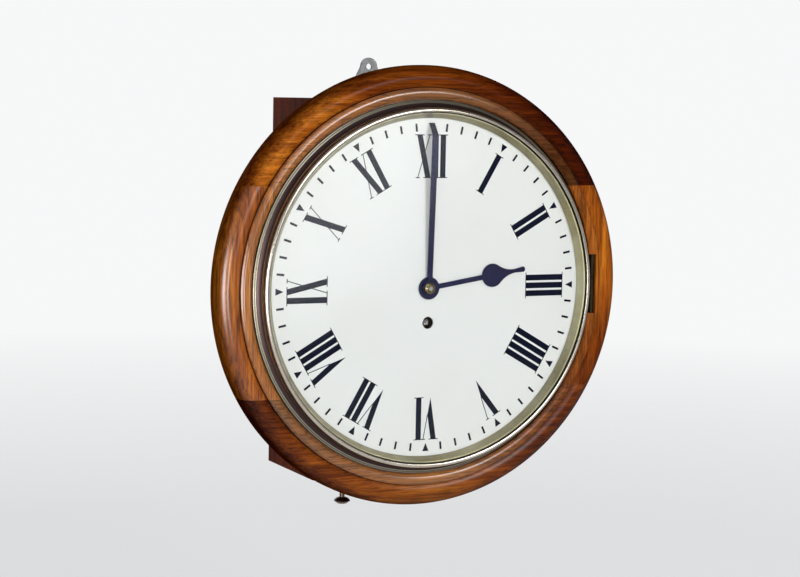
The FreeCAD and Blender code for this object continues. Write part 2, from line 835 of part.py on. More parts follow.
door_axis_x = doorway_half
door_axis_z = -d.box_foot - d.door_hinge_drop
leaf_low = -d.box_foot - d.door_hinge_leaf_thickness
hinge_starts = [door_back + d.door_hinge_inset, door_front - d.door_hinge_inset - d.door_hinge_length]
fixed_leaves = []
moving_leaves = []
door_pins = []
knuckle_step = d.door_hinge_length / 3
for number, start in enumerate(hinge_starts):
    end = start + d.door_hinge_length
    first_break = start + knuckle_step
    second_break = end - knuckle_step
    pin_room = rod(
        f"door_pin_room_{number}", d.door_pin_radius + d.running_gap, start - d.cut_overrun,
        end + d.cut_overrun, door_axis_x, door_axis_z,
    )
    fixed_leaf = board(
        f"door_fixed_leaf_{number}", door_axis_x + d.door_gap, door_axis_x + d.door_hinge_leaf,
        start, end, leaf_low, -d.box_foot,
    )
    moving_room = rod(
        f"door_moving_room_{number}", d.door_hinge_radius + d.fit_gap, first_break - d.fit_gap,
        second_break + d.fit_gap, door_axis_x, door_axis_z,
    )
    back_knuckle = rod(
        f"door_back_knuckle_{number}", d.door_hinge_radius, start, first_break, door_axis_x, door_axis_z,
    )
    front_knuckle = rod(
        f"door_front_knuckle_{number}", d.door_hinge_radius, second_break, end, door_axis_x, door_axis_z,
    )
    fixed = fused(f"door_fixed_{number}", fixed_leaf, back_knuckle, front_knuckle)
    fixed_leaves.append(less(f"door_fixed_hinge_{number}", fixed, moving_room, pin_room))
    moving_leaf = board(
        f"door_moving_leaf_{number}", door_axis_x - d.door_hinge_leaf, door_axis_x - d.door_gap,
        first_break + d.fit_gap, second_break - d.fit_gap, leaf_low, -d.box_foot,
    )
    moving_knuckle = rod(
        f"door_moving_knuckle_{number}", d.door_hinge_radius, first_break + d.fit_gap,
        second_break - d.fit_gap, door_axis_x, door_axis_z,
    )
    moving = fused(f"door_moving_{number}", moving_leaf, moving_knuckle)
    moving_leaves.append(less(f"door_moving_hinge_{number}", moving, pin_room))
    door_pins.append(rod(f"door_pin_{number}", d.door_pin_radius, start, end, door_axis_x, door_axis_z))
door_hinge_fixed = group("door_hinge_fixed", *fixed_leaves, *door_pins)
door_hinge_moving = group("door_hinge_moving", *moving_leaves)

rose_low = -d.box_foot - d.fit_gap - d.knob_rose_height
cap_top = rose_low - d.knob_neck_length
cap_low = cap_top - d.knob_cap_height
KNOB_FACE_SHARE = 0.6
KNOB_EDGE_SHARE = 0.4
knob_turning = turned("knob_turning", [
    (ZERO, cap_low),
    (d.knob_cap_radius * KNOB_FACE_SHARE, cap_low),
    (d.knob_cap_radius, cap_low + d.knob_cap_height * KNOB_EDGE_SHARE, d.knob_cap_height),
    (d.knob_neck_radius, cap_top),
    (d.knob_neck_radius, rose_low),
    (d.knob_rose_radius, rose_low + d.knob_rose_height / 2),
    (d.knob_rose_radius, rose_low + d.knob_rose_height),
    (d.knob_spindle_radius, rose_low + d.knob_rose_height),
    (d.knob_spindle_radius, box_floor + d.fit_gap + d.tongue_thickness),
    (ZERO, box_floor + d.fit_gap + d.tongue_thickness),
], x=-d.knob_offset, depth=door_middle, turn=UPRIGHT)
tongue_half = d.tongue_width / 2
tongue_end = d.tongue_length - tongue_half
catch_tongue = plate("catch_tongue", [
    (tongue_half, ZERO),
    (tongue_half, tongue_end, tongue_half),
    (ZERO, d.tongue_length, tongue_half),
    (-tongue_half, tongue_end),
    (-tongue_half, ZERO, tongue_half),
    (ZERO, -tongue_half, tongue_half),
], d.tongue_thickness, x=-d.knob_offset, depth=door_middle, z=box_floor + d.fit_gap,
    holes=[(ZERO, ZERO, d.knob_spindle_radius + d.running_gap)], turn=UPRIGHT)
door_knob = group("door_knob", knob_turning, catch_tongue)

# Dial
dial_holes = [(ZERO, ZERO, d.dial_centre_hole), (ZERO, -d.winding_drop, d.winding_hole_radius)]
dial_holes += [(x, z, screw_wood_radius) for x, z in dial_screw_places.values()]
dial = plate("dial", d.dial_radius, d.dial_thickness, depth=dial_back, holes=dial_holes)
SCREW_CROWN_SHARE = 0.8
screw_low = -d.dial_screw_length
dial_screw_list = [
    turned(f"dial_screw_{side}", [
        (ZERO, screw_low),
        (d.dial_screw_radius, screw_low),
        (d.dial_screw_radius, ZERO),
        (d.dial_screw_head_radius, ZERO),
        (d.dial_screw_head_radius * SCREW_CROWN_SHARE, d.dial_screw_head_height),
        (ZERO, d.dial_screw_head_height),
    ], x, dial_front, z)
    for side, (x, z) in dial_screw_places.items()
]
wood_screws = group("wood_screws", *hanger_screw_list, *dial_screw_list)

# Bezel, glass and sight ring
bezel_back = bezel_land + d.fit_gap
band_radius = d.bezel_radius - d.bezel_band_width
cove_radius = band_radius - d.bezel_cove_reach
lip_radius = cove_radius - d.bezel_bead_width
rebate_radius = lip_radius + d.glass_cover
rim_top = bezel_back + d.bezel_rim_height
band_top = rim_top + d.bezel_band_rise
cove_top = band_top + d.bezel_cove_height
lip_front = cove_top + d.bezel_bead_rise
glass_front = lip_front - d.bezel_lip_thickness
glass_back = glass_front - d.glass_thickness
bezel_turning = turned("bezel_turning", [
    (rebate_radius, bezel_back),
    (d.bezel_radius, bezel_back),
    (d.bezel_radius, rim_top),
    (band_radius, band_top, -d.bezel_cove_round),
    (cove_radius, cove_top, d.bezel_bead_round),
    (lip_radius, lip_front),
    (lip_radius, glass_front),
    (rebate_radius, glass_front),
])
notch_radius = d.hinge_axis_radius - hinge_room
bezel_notch = board(
    "bezel_notch", notch_radius, d.bezel_radius + d.cut_overrun, bezel_back - d.cut_overrun,
    band_top, -hinge_half - d.fit_gap, hinge_half + d.fit_gap,
)
leaf_recess = board(
    "leaf_recess", leaf_start - d.fit_gap, d.bezel_radius + d.cut_overrun, bezel_back - d.cut_overrun,
    bezel_back + d.hinge_leaf_thickness, -hinge_half - d.fit_gap, hinge_half + d.fit_gap,
)
catch_half = d.catch_width / 2
catch_radius = step_radius + d.catch_thickness
catch_front = bezel_land + d.catch_height
catch_room = board(
    "catch_room", -catch_radius - d.fit_gap, d.cut_overrun - rebate_radius, bezel_back - d.cut_overrun,
    catch_front + d.fit_gap, -catch_half - d.fit_gap, catch_half + d.fit_gap,
)
bezel = less("bezel", bezel_turning, bezel_notch, leaf_recess, catch_room)
glass = plate("glass", rebate_radius - d.glass_edge_gap, d.glass_thickness, depth=glass_back)
sight_low = dial_front + d.fit_gap + d.fit_gap
sight_outer = rebate_radius - d.fit_gap
sight_rim = sight_outer - d.sight_rim_width
sight_ring = turned("sight_ring", [
    (d.sight_radius, sight_low),
    (d.sight_radius + d.sight_sheet, sight_low),
    (sight_rim + d.sight_sheet, glass_back - d.sight_rim_height),
    (sight_outer, glass_back - d.sight_rim_height),
    (sight_outer, glass_back),
    (sight_rim, glass_back),
    (d.sight_radius, sight_low + d.sight_edge),
])

# Bezel hinge and the spring that grips the bezel opposite it
knuckle_third = d.hinge_length / 3
fixed_low = -hinge_half + knuckle_third
fixed_high = hinge_half - knuckle_third
hinge_bore = bar_up(
    "hinge_bore", d.hinge_pin_radius + d.running_gap, -hinge_half - d.cut_overrun,
    hinge_half + d.cut_overrun, d.hinge_axis_radius, hinge_depth,
)
fixed_plate = board(
    "fixed_plate", leaf_start, d.hinge_axis_radius, mortise_floor, bezel_land, -hinge_half, hinge_half,
)
low_knuckle = bar_up(
    "low_knuckle", d.hinge_knuckle_radius, -hinge_half, fixed_low, d.hinge_axis_radius, hinge_depth,
)
high_knuckle = bar_up(
    "high_knuckle", d.hinge_knuckle_radius, fixed_high, hinge_half, d.hinge_axis_radius, hinge_depth,
)
moving_knuckle_room = bar_up(
    "moving_knuckle_room", hinge_room, fixed_low - d.hinge_knuckle_gap, fixed_high + d.hinge_knuckle_gap,
    d.hinge_axis_radius, hinge_depth,
)
fixed_hinge = fused("fixed_hinge", fixed_plate, low_knuckle, high_knuckle)
fixed_knuckles = less("fixed_knuckles", fixed_hinge, moving_knuckle_room, hinge_bore)
moving_plate = board(
    "moving_plate", leaf_start, d.hinge_axis_radius, bezel_back, bezel_back + d.hinge_leaf_thickness,
    fixed_low + d.hinge_knuckle_gap, fixed_high - d.hinge_knuckle_gap,
)
middle_knuckle = bar_up(
    "middle_knuckle", d.hinge_knuckle_radius, fixed_low + d.hinge_knuckle_gap,
    fixed_high - d.hinge_knuckle_gap, d.hinge_axis_radius, hinge_depth,
)
moving_hinge = fused("moving_hinge", moving_plate, middle_knuckle)
bezel_hinge_moving = less("bezel_hinge_moving", moving_hinge, hinge_bore)
hinge_pin = bar_up("hinge_pin", d.hinge_pin_radius, -hinge_half, hinge_half, d.hinge_axis_radius, hinge_depth)
bezel_hinge_fixed = group("bezel_hinge_fixed", fixed_knuckles, hinge_pin)
bezel_catch = board(
    "bezel_catch", -catch_radius, -step_radius, bezel_land, catch_front, -catch_half, catch_half,
)

# Places of the arbors, as x and z
centre_place = (ZERO, ZERO)
fusee_place = (ZERO, -d.winding_drop)
great_module = d.winding_drop * 2 / (d.great_teeth + d.centre_pinion_leaves)
third_distance = d.centre_module * (d.centre_teeth + d.third_pinion_leaves) / 2
escape_distance = d.third_module * (d.third_teeth + d.escape_pinion_leaves) / 2
third_height = root(third_distance * third_distance - d.third_arbor_reach * d.third_arbor_reach)
third_place = (d.third_arbor_reach, third_height)
escape_height = third_height + root(
    escape_distance * escape_distance - d.third_arbor_reach * d.third_arbor_reach
)
escape_place = (ZERO, escape_height)
pallet_height = escape_height + d.escape_radius * root(as_size(2))
pallet_place = (ZERO, pallet_height)
plate_half_height = pallet_height + d.plate_head
barrel_place = (-d.barrel_reach, -d.barrel_drop)
motion_side = d.motion_reach / root(as_size(2))
motion_place = (-motion_side, motion_side)
pillar_places = [
    (-d.plate_left + d.pillar_inset, plate_half_height - d.pillar_inset),
    (-d.plate_left + d.pillar_inset, d.pillar_inset - plate_half_height),
    (d.plate_right - d.pillar_inset, plate_half_height - d.pillar_inset),
    (d.plate_right - d.pillar_inset, d.pillar_inset - plate_half_height),
]
foot_places = [
    (-d.foot_left, d.foot_upper),
    (-d.foot_left, -d.foot_left_lower),
    (d.foot_right, d.foot_upper),
    (d.foot_right, -d.foot_right_lower),
]
bridge_side = d.bridge_reach / root(as_size(2))
bridge_places = [(-bridge_side, -bridge_side), (bridge_side, bridge_side)]

# Movement plates, pillars, dial feet and their cross pins
corner = d.plate_corner
plate_outline = [
    (corner - d.plate_left, -plate_half_height),
    (d.plate_right - corner, -plate_half_height),
    (d.plate_right, corner - plate_half_height),
    (d.plate_right, plate_half_height - corner),
    (d.plate_right - corner, plate_half_height),
    (corner - d.plate_left, plate_half_height),
    (-d.plate_left, plate_half_height - corner),
    (-d.plate_left, corner - plate_half_height),
]


def hole_at(spot, radius):
    return (spot[0], spot[1], radius + d.running_gap)


common_holes = [
    hole_at(third_place, d.pivot_radius),
    hole_at(escape_place, d.pivot_radius),
    hole_at(fusee_place, d.fusee_pivot_radius),
    hole_at(barrel_place, d.barrel_pivot_radius),
]
common_holes += [hole_at(spot, d.pillar_tenon_radius) for spot in pillar_places]
front_holes = common_holes + [
    hole_at(centre_place, d.centre_arbor_radius),
    hole_at(pallet_place, d.pivot_radius),
    hole_at(motion_place, d.minute_post_radius),
]
front_holes += [hole_at(spot, d.foot_tenon_radius) for spot in foot_places]
back_holes = common_holes + [
    hole_at(centre_place, d.centre_pivot_radius),
    (pallet_place[0], pallet_place[1], d.anchor_hub_radius),
]
front_sheet = plate("front_sheet", plate_outline, d.plate_thickness, depth=front_plate_back, holes=front_holes)
back_plate = plate("back_plate", plate_outline, d.plate_thickness, depth=d.back_plate_depth, holes=back_holes)

pin_half = d.cross_pin_length / 2
pin_room_radius = d.cross_pin_radius + d.running_gap
pillar_pin_depth = front_plate_front + d.cross_pin_radius + d.running_gap
foot_pin_depth = front_plate_back - d.cross_pin_radius - d.running_gap
pillars = []
feet = []
pins = []
for number, (x, z) in enumerate(pillar_places):
    body = turned(f"pillar_turning_{number}", [
        (ZERO, d.back_plate_depth),
        (d.pillar_tenon_radius, d.back_plate_depth),
        (d.pillar_tenon_radius, back_plate_front),
        (d.pillar_radius, back_plate_front),
        (d.pillar_radius, back_plate_front + d.pillar_collar),
        (d.pillar_waist_radius, back_plate_front + d.pillar_collar + d.pillar_collar),
        (d.pillar_waist_radius, front_plate_back - d.pillar_collar - d.pillar_collar),
        (d.pillar_radius, front_plate_back - d.pillar_collar),
        (d.pillar_radius, front_plate_back),
        (d.pillar_tenon_radius, front_plate_back),
        (d.pillar_tenon_radius, front_plate_front + d.pillar_tenon_stand),
        (ZERO, front_plate_front + d.pillar_tenon_stand),
    ], x, ZERO, z)
    room = bar_across(
        f"pillar_pin_room_{number}", pin_room_radius, x - pin_half, x + pin_half, pillar_pin_depth, z,
    )
    pillars.append(less(f"pillar_{number}", body, room))
    pins.append(bar_across(
        f"pillar_pin_{number}", d.cross_pin_radius, x - pin_half, x + pin_half, pillar_pin_depth, z,
    ))
for number, (x, z) in enumerate(foot_places):
    body = turned(f"foot_turning_{number}", [
        (ZERO, front_plate_back - d.foot_tenon_stand),
        (d.foot_tenon_radius, front_plate_back - d.foot_tenon_stand),
        (d.foot_tenon_radius, front_plate_front),
        (d.foot_radius, front_plate_front),
        (d.foot_radius, dial_back),
        (ZERO, dial_back),
    ], x, ZERO, z)
    room = bar_across(
        f"foot_pin_room_{number}", pin_room_radius, x - pin_half, x + pin_half, foot_pin_depth, z,
    )
    feet.append(less(f"foot_{number}", body, room))
    pins.append(bar_across(
        f"foot_pin_{number}", d.cross_pin_radius, x - pin_half, x + pin_half, foot_pin_depth, z,
    ))
plate_pillars = group("plate_pillars", *pillars)
dial_feet = group("dial_feet", *feet)
cross_pins = group("cross_pins", *pins)


# Train arbors and wheels


def stepped(name, steps, spot):
    """A round arbor turned in steps. Each step is its radius and the depth where it ends."""
    start, *rest = steps
    profile = [(ZERO, start)]
    level = start
    for radius, end in rest:
        profile += [(radius, level), (radius, end)]
        level = end
    profile.append((ZERO, level))
    return turned(name, profile, spot[0], ZERO, spot[1])


great_depth = back_plate_front + d.great_wheel_lift
third_depth = back_plate_front + d.third_wheel_lift
centre_depth = back_plate_front + d.centre_wheel_lift
escape_depth = back_plate_front + d.escape_wheel_lift
bore_radius = d.centre_arbor_radius + d.running_gap
great_phase, centre_pinion_phase = facing_phases(*fusee_place, *centre_place, d.centre_pinion_leaves)
centre_phase, third_pinion_phase = facing_phases(*centre_place, *third_place, d.third_pinion_leaves)
third_phase, escape_pinion_phase = facing_phases(*third_place, *escape_place, d.escape_pinion_leaves)

centre_pinion = shaped(
    "centre_pinion",
    pinion_shape(d.centre_pinion_leaves, great_module, d.pinion_length, centre_pinion_phase),
    depth=back_plate_front + d.fit_gap,
)
tip_depth = dial_front + d.minute_hand_rise + d.hand_thickness + d.collet_height + d.cross_pin_radius
centre_stem = stepped("centre_stem", [
    d.back_plate_depth,
    (d.centre_pivot_radius, back_plate_front + d.fit_gap + d.pinion_length),
    (d.centre_arbor_radius, tip_depth),
], centre_place)
hand_pin_depth = dial_front + d.minute_hand_rise + d.hand_thickness + d.collet_height - d.hand_pin_radius * 2
hand_pin_room = bar_across(
    "hand_pin_room", d.hand_pin_radius + d.running_gap, -d.hand_pin_half_length, d.hand_pin_half_length,
    hand_pin_depth, ZERO,
)
centre_fused = fused("centre_fused", centre_stem, centre_pinion)
centre_arbor = less("centre_arbor", centre_fused, hand_pin_room)
centre_wheel = shaped(
    "centre_wheel",
    wheel_shape(d.centre_teeth, d.centre_module, d.wheel_thickness, centre_phase, bore_radius),
    depth=centre_depth,
)


def train_arbor(name, spot, pinion, collet_depth):
    """An arbor with its pinion, the collet that carries its wheel and a pivot at each end."""
    stem = stepped(name + "_stem", [
        d.back_plate_depth + d.fit_gap,
        (d.pivot_radius, back_plate_front + d.fit_gap),
        (d.arbor_radius, collet_depth - d.wheel_collet_length),
        (d.wheel_collet_radius, collet_depth),
        (d.arbor_radius, front_plate_back - d.fit_gap),
        (d.pivot_radius, front_plate_front - d.fit_gap),
    ], spot)
    return fused(name, stem, pinion)


third_pinion = shaped(
    "third_pinion",
    pinion_shape(d.third_pinion_leaves, d.centre_module, d.pinion_length, third_pinion_phase),
    third_place[0], centre_depth - d.pinion_length / 2, third_place[1],
)
third_arbor = train_arbor("third_arbor", third_place, third_pinion, third_depth)
small_bore = d.arbor_radius + d.running_gap
third_wheel = shaped(
    "third_wheel",
    wheel_shape(d.third_teeth, d.third_module, d.wheel_thickness, third_phase, small_bore),
    third_place[0], third_depth, third_place[1],
)
escape_pinion = shaped(
    "escape_pinion",
    pinion_shape(d.escape_pinion_leaves, d.third_module, d.pinion_length, escape_pinion_phase),
    escape_place[0], third_depth - d.pinion_length / 2, escape_place[1],
)
escape_arbor = train_arbor("escape_arbor", escape_place, escape_pinion, escape_depth)

# Escape wheel: thirty pointed teeth that lean forwards, crossed out like the others
ESCAPE_LEAN_SHARE = 0.28
ESCAPE_BACK_SHARE = 0.62
escape_points = []
escape_step = 2 * math.pi / d.escape_teeth.value
escape_low = d.escape_radius.value - d.escape_tooth_height.value
for tooth in range(int(d.escape_teeth.value)):
    angle = tooth * escape_step
    escape_points.append(polar(escape_low, angle - escape_step * ESCAPE_BACK_SHARE))
    escape_points.append(polar(escape_low, angle - escape_step * ESCAPE_LEAN_SHARE))
    escape_points.append(polar(d.escape_radius.value, angle))
escape_rim = escape_low - d.escape_tooth_height.value / 2
escape_hub = d.escape_radius.value * HUB_SHARE
escape_arm = d.escape_radius.value * ARM_SHARE
escape_holes = [disc_face(small_bore.value)]
for crossing in range(CROSSINGS):
    middle = (crossing + 0.5) * 2 * math.pi / CROSSINGS
    escape_holes.append(
        crossing_face(escape_hub, escape_rim, escape_arm, middle)
    )
escape_wheel = shaped(
    "escape_wheel", prism(escape_points, d.wheel_thickness, escape_holes),
    escape_place[0], escape_depth, escape_place[1],
)

# Anchor, its arbor and the crutch. Corners are shares of the escape wheel's radius
ANCHOR_SHARES = [
    (0.20, -0.19), (0.640, -0.470), (0.722, -0.611), (0.800, -0.720),
    (0.900, -0.640), (0.867, -0.300), (0.528, 0.056), (0.194, 0.256),
]
anchor_outline = [(d.escape_radius * x, d.escape_radius * y) for x, y in ANCHOR_SHARES]
anchor_outline += [(-d.escape_radius * x, d.escape_radius * y) for x, y in reversed(ANCHOR_SHARES)]
anchor_depth = escape_depth - (d.anchor_thickness - d.wheel_thickness) / 2
anchor = plate(
    "anchor", anchor_outline, d.anchor_thickness, pallet_place[0], anchor_depth, pallet_place[1],
    holes=[(ZERO, ZERO, small_bore)],
)
cock_back = d.back_plate_depth - d.cock_stand
cock_bar_front = cock_back + d.cock_bar
crutch_depth = d.back_plate_depth - d.crutch_setback
pallet_stem = stepped("pallet_stem", [
    cock_back,
    (d.pivot_radius, cock_bar_front + d.fit_gap),
    (d.arbor_radius, front_plate_back - d.fit_gap),
    (d.pivot_radius, front_plate_front - d.fit_gap),
], pallet_place)
crutch_low = pallet_height - d.crutch_length
pendulum_depth = d.back_plate_depth - d.pendulum_setback
crutch_rod = bar_up("crutch_rod", d.crutch_radius, crutch_low, pallet_height, ZERO, crutch_depth)
fork_high = crutch_low + d.crutch_radius * 2
fork_bar = board(
    "fork_bar", -d.crutch_fork_half, d.crutch_fork_half, crutch_depth - d.crutch_radius,
    crutch_depth + d.crutch_radius, crutch_low, fork_high,
)
fork_gap = d.pendulum_rod_radius + d.fit_gap
fork_back = pendulum_depth - d.pendulum_rod_radius
fork_tines = [
    board(f"fork_tine_{number}", left, right, fork_back, crutch_depth, crutch_low, fork_high)
    for number, (left, right) in enumerate([(-d.crutch_fork_half, -fork_gap), (fork_gap, d.crutch_fork_half)])
]
pallet_arbor = fused("pallet_arbor", pallet_stem, crutch_rod, fork_bar, *fork_tines)

# Back cock: carries the pallet arbor's back pivot and hangs the pendulum
cock_low = pallet_height - d.cock_height / 2
cock_high = pallet_height + d.cock_height / 2
cock_leg_inner = d.cock_half_width - d.cock_leg_width
cock_end = cock_back - d.cock_arm_reach
cock_blank = plate("cock_blank", [
    (-d.cock_half_width, -d.back_plate_depth),
    (-cock_leg_inner, -d.back_plate_depth),
    (-cock_leg_inner, -cock_bar_front),
    (cock_leg_inner, -cock_bar_front),
    (cock_leg_inner, -d.back_plate_depth),
    (d.cock_half_width, -d.back_plate_depth),
    (d.cock_half_width, -cock_back),
    (d.cock_arm_half, -cock_back),
    (d.cock_arm_half, -cock_end),
    (-d.cock_arm_half, -cock_end),
    (-d.cock_arm_half, -cock_back),
    (-d.cock_half_width, -cock_back),
], d.cock_height, z=cock_low, turn=UPRIGHT)
cock_pivot = rod(
    "cock_pivot", d.pivot_radius + d.running_gap, cock_back - d.cut_overrun, cock_bar_front + d.cut_overrun,
    *pallet_place,
)
slot_half = d.suspension_slot / 2
strip_back = pendulum_depth - d.suspension_width / 2
strip_front = pendulum_depth + d.suspension_width / 2
cock_slot = board(
    "cock_slot", -slot_half, slot_half, strip_back - d.fit_gap, strip_front + d.fit_gap,
    cock_low - d.cut_overrun, cock_high + d.cut_overrun,
)
back_cock = less("back_cock", cock_blank, cock_pivot, cock_slot)

# Pendulum: suspension spring with its top block, rod, bob and rating nut
strip_half = d.suspension_thickness / 2
block_half = d.suspension_block / 2
block_low = cock_high + d.fit_gap
strip_low = pallet_height - d.suspension_length
strip = board("strip", -strip_half, strip_half, strip_back, strip_front, strip_low, block_low)
top_block = board(
    "top_block", -block_half, block_half, strip_back, strip_front,
    block_low, block_low + d.suspension_block_height,
)
suspension_spring = fused("suspension_spring", strip, top_block)
rod_low = pallet_height - d.pendulum_end
shank = bar_up("shank", d.pendulum_rod_radius, rod_low, strip_low, ZERO, pendulum_depth)
head_low = strip_low - d.suspension_block_height
rod_head = board("rod_head", -block_half, block_half, strip_back, strip_front, head_low, strip_low)
pendulum_rod = fused("pendulum_rod", shank, rod_head)
bob_height = pallet_height - d.pendulum_length
bob_swell = d.bob_half_thickness - d.bob_edge_half
bob_round = (d.bob_radius * d.bob_radius + bob_swell * bob_swell) / (bob_swell * 2)
bob_blank = turned("bob_blank", [
    (ZERO, -d.bob_half_thickness, bob_round),
    (d.bob_radius, -d.bob_edge_half),
    (d.bob_radius, d.bob_edge_half, bob_round),
    (ZERO, d.bob_half_thickness),
], ZERO, pendulum_depth, bob_height)
bob_bore = bar_up(
    "bob_bore", d.pendulum_rod_radius + d.running_gap, bob_height - d.bob_radius - d.cut_overrun,
    bob_height + d.bob_radius + d.cut_overrun, ZERO, pendulum_depth,
)
pendulum_bob = less("pendulum_bob", bob_blank, bob_bore)
nut_top = bob_height - d.bob_radius - d.fit_gap
rating_nut = plate(
    "rating_nut", d.nut_radius, d.nut_height, ZERO, pendulum_depth, nut_top - d.nut_height,
    holes=[(ZERO, ZERO, d.pendulum_rod_radius + d.running_gap)], turn=UPRIGHT,
)

# Great wheel, fusee and barrel
fusee_bore = d.fusee_arbor_radius + d.running_gap
great_wheel = shaped(
    "great_wheel",
    wheel_shape(d.great_teeth, great_module, d.great_wheel_thickness, great_phase, fusee_bore),
    fusee_place[0], great_depth, fusee_place[1],
)
ratchet_depth = great_depth + d.great_wheel_thickness + d.fit_gap
fusee_ratchet = shaped(
    "fusee_ratchet",
    ratchet_shape(
        d.fusee_ratchet_teeth, d.fusee_ratchet_radius, d.ratchet_tooth_height, d.ratchet_thickness, fusee_bore,
    ),
    fusee_place[0], ratchet_depth, fusee_place[1],
)


def click(name, spot, tip_radius, depth):
    """A pawl beside a ratchet, with its nose on the circle of the teeth's points."""
    nose = tip_radius + d.running_gap
    half = d.click_width / 2
    return plate(name, [
        (-half, nose),
        (half, nose + half),
        (d.click_length, nose + half),
        (d.click_length, nose + d.click_width),
        (ZERO, nose + d.click_width),
    ], d.ratchet_thickness, spot[0], depth, spot[1])


fusee_click = click("fusee_click", fusee_place, d.fusee_ratchet_radius, great_depth + d.great_wheel_thickness)
fusee_depth = ratchet_depth + d.ratchet_thickness
groove_step = d.fusee_length / d.fusee_turns
fusee_fall = (d.fusee_large_radius - d.fusee_small_radius) / d.fusee_turns
fusee_profile = [(fusee_bore, ZERO), (d.fusee_large_radius, ZERO), (d.fusee_large_radius, d.fusee_flange)]
for turn_number in range(int(d.fusee_turns.value)):
    edge = d.fusee_large_radius - fusee_fall * turn_number
    level = d.fusee_flange + groove_step * turn_number
    fusee_profile.append((edge - d.fusee_groove_depth, level + groove_step / 2))
    fusee_profile.append((edge - fusee_fall, level + groove_step))
fusee_top = d.fusee_flange + d.fusee_length
fusee_profile.append((fusee_bore, fusee_top))
fusee_cone = turned("fusee_cone", fusee_profile, fusee_place[0], fusee_depth, fusee_place[1])
stop_depth = fusee_depth + fusee_top
fusee_stop = plate("fusee_stop", [
    (-d.fusee_small_radius, ZERO, d.fusee_small_radius),
    (ZERO, -d.fusee_small_radius, d.fusee_small_radius),
    (d.fusee_small_radius, ZERO),
    (d.click_width / 2, d.fusee_stop_radius),
    (-d.click_width / 2, d.fusee_stop_radius),
], d.fusee_stop_thickness, fusee_place[0], stop_depth, fusee_place[1], holes=[(ZERO, ZERO, fusee_bore)],
    turn=FACING.multiply(FreeCAD.Rotation(NORMAL, 180)))
fusee = group("fusee", fusee_ratchet, fusee_cone, fusee_stop)
square_front = dial_back - d.winding_square_setback
fusee_stem = stepped("fusee_stem", [
    d.back_plate_depth,
    (d.fusee_pivot_radius, back_plate_front + d.fit_gap),
    (d.fusee_arbor_radius, front_plate_back - d.fit_gap),
    (d.fusee_pivot_radius, front_plate_front + d.fit_gap),
], fusee_place)
square_half = d.winding_square / 2
square = board(
    "square", -square_half, square_half, front_plate_front, square_front,
    -d.winding_drop - square_half, square_half - d.winding_drop,
)
fusee_arbor = fused("fusee_arbor", fusee_stem, square)

barrel_depth = back_plate_front + d.barrel_lift
barrel_front = barrel_depth + d.barrel_length
barrel_bore = d.barrel_pivot_radius + d.running_gap
drum_inside = d.barrel_radius - d.barrel_wall
barrel_drum = turned("barrel_drum", [
    (barrel_bore, ZERO),
    (d.barrel_radius, ZERO),
    (d.barrel_radius, d.barrel_length - d.barrel_cap_thickness),
    (drum_inside, d.barrel_length - d.barrel_cap_thickness),
    (drum_inside, d.barrel_wall),
    (barrel_bore, d.barrel_wall),
], barrel_place[0], barrel_depth, barrel_place[1])
barrel_cap = plate(
    "barrel_cap", d.barrel_radius, d.barrel_cap_thickness, barrel_place[0],
    barrel_front - d.barrel_cap_thickness, barrel_place[1], holes=[(ZERO, ZERO, barrel_bore)],
)
barrel = group("barrel", barrel_drum, barrel_cap)
barrel_stem = stepped("barrel_stem", [
    d.back_plate_depth,
    (d.barrel_pivot_radius, barrel_depth + d.barrel_wall + d.fit_gap),
    (d.barrel_arbor_radius, barrel_front - d.barrel_cap_thickness - d.fit_gap),
    (d.barrel_pivot_radius, front_plate_front),
    (d.setup_square_radius, front_plate_front + d.setup_square_stand),
], barrel_place)
setup_ratchet = shaped(
    "setup_ratchet",
    ratchet_shape(
        d.setup_ratchet_teeth, d.setup_ratchet_radius, d.ratchet_tooth_height, d.ratchet_thickness,
        d.setup_square_radius + d.running_gap,
    ),
    barrel_place[0], front_plate_front + d.fit_gap, barrel_place[1],
)
barrel_arbor = group("barrel_arbor", barrel_stem, setup_ratchet)
setup_click = click("setup_click", barrel_place, d.setup_ratchet_radius, front_plate_front)


def spiral_shape(inner, outer, turns, thickness, width):
    """A flat strip wound in a spiral."""
    steps_per_turn = 16
    count = int(turns * steps_per_turn)
    inside = []
    outside = []
    for step in range(count + 1):
        share = step / count
        radius = inner + (outer - inner) * share
        angle = share * turns * 2 * math.pi
        inside.append(polar(radius - thickness / 2, angle))
        outside.append(polar(radius + thickness / 2, angle))
    return prism(inside + outside[::-1], width)


spring_inner = d.barrel_arbor_radius + d.mainspring_thickness
spring_outer = drum_inside - d.mainspring_thickness - d.fit_gap
spring_depth = barrel_depth + d.barrel_wall + d.fit_gap
spring_width = barrel_front - d.barrel_cap_thickness - d.fit_gap - spring_depth
mainspring = shaped(
    "mainspring",
    spiral_shape(
        spring_inner.value, spring_outer.value, d.mainspring_turns.value,
        d.mainspring_thickness.value, spring_width,
    ),
    barrel_place[0], spring_depth, barrel_place[1],
)

# Gut line: its free run, from the top of the barrel to the top of the fusee
line_gap = d.line_radius + d.fit_gap
line_left = FreeCAD.Vector((barrel_place[0]).value, 0, (barrel_place[1] + d.barrel_radius + line_gap).value)
fusee_run_radius = (d.fusee_large_radius + d.fusee_small_radius) / 2
line_right = FreeCAD.Vector((fusee_place[0]).value, 0, (fusee_place[1] + fusee_run_radius + line_gap).value)
run = line_right - line_left
line_shape = Part.makeCylinder(d.line_radius.value, run.Length, line_left, run)
fusee_line = doc.addObject("Part::Feature", "fusee_line")
fusee_line.Shape = line_shape
place(fusee_line, ZERO, fusee_depth + d.fusee_flange + d.fusee_length / 2, ZERO, UPRIGHT)

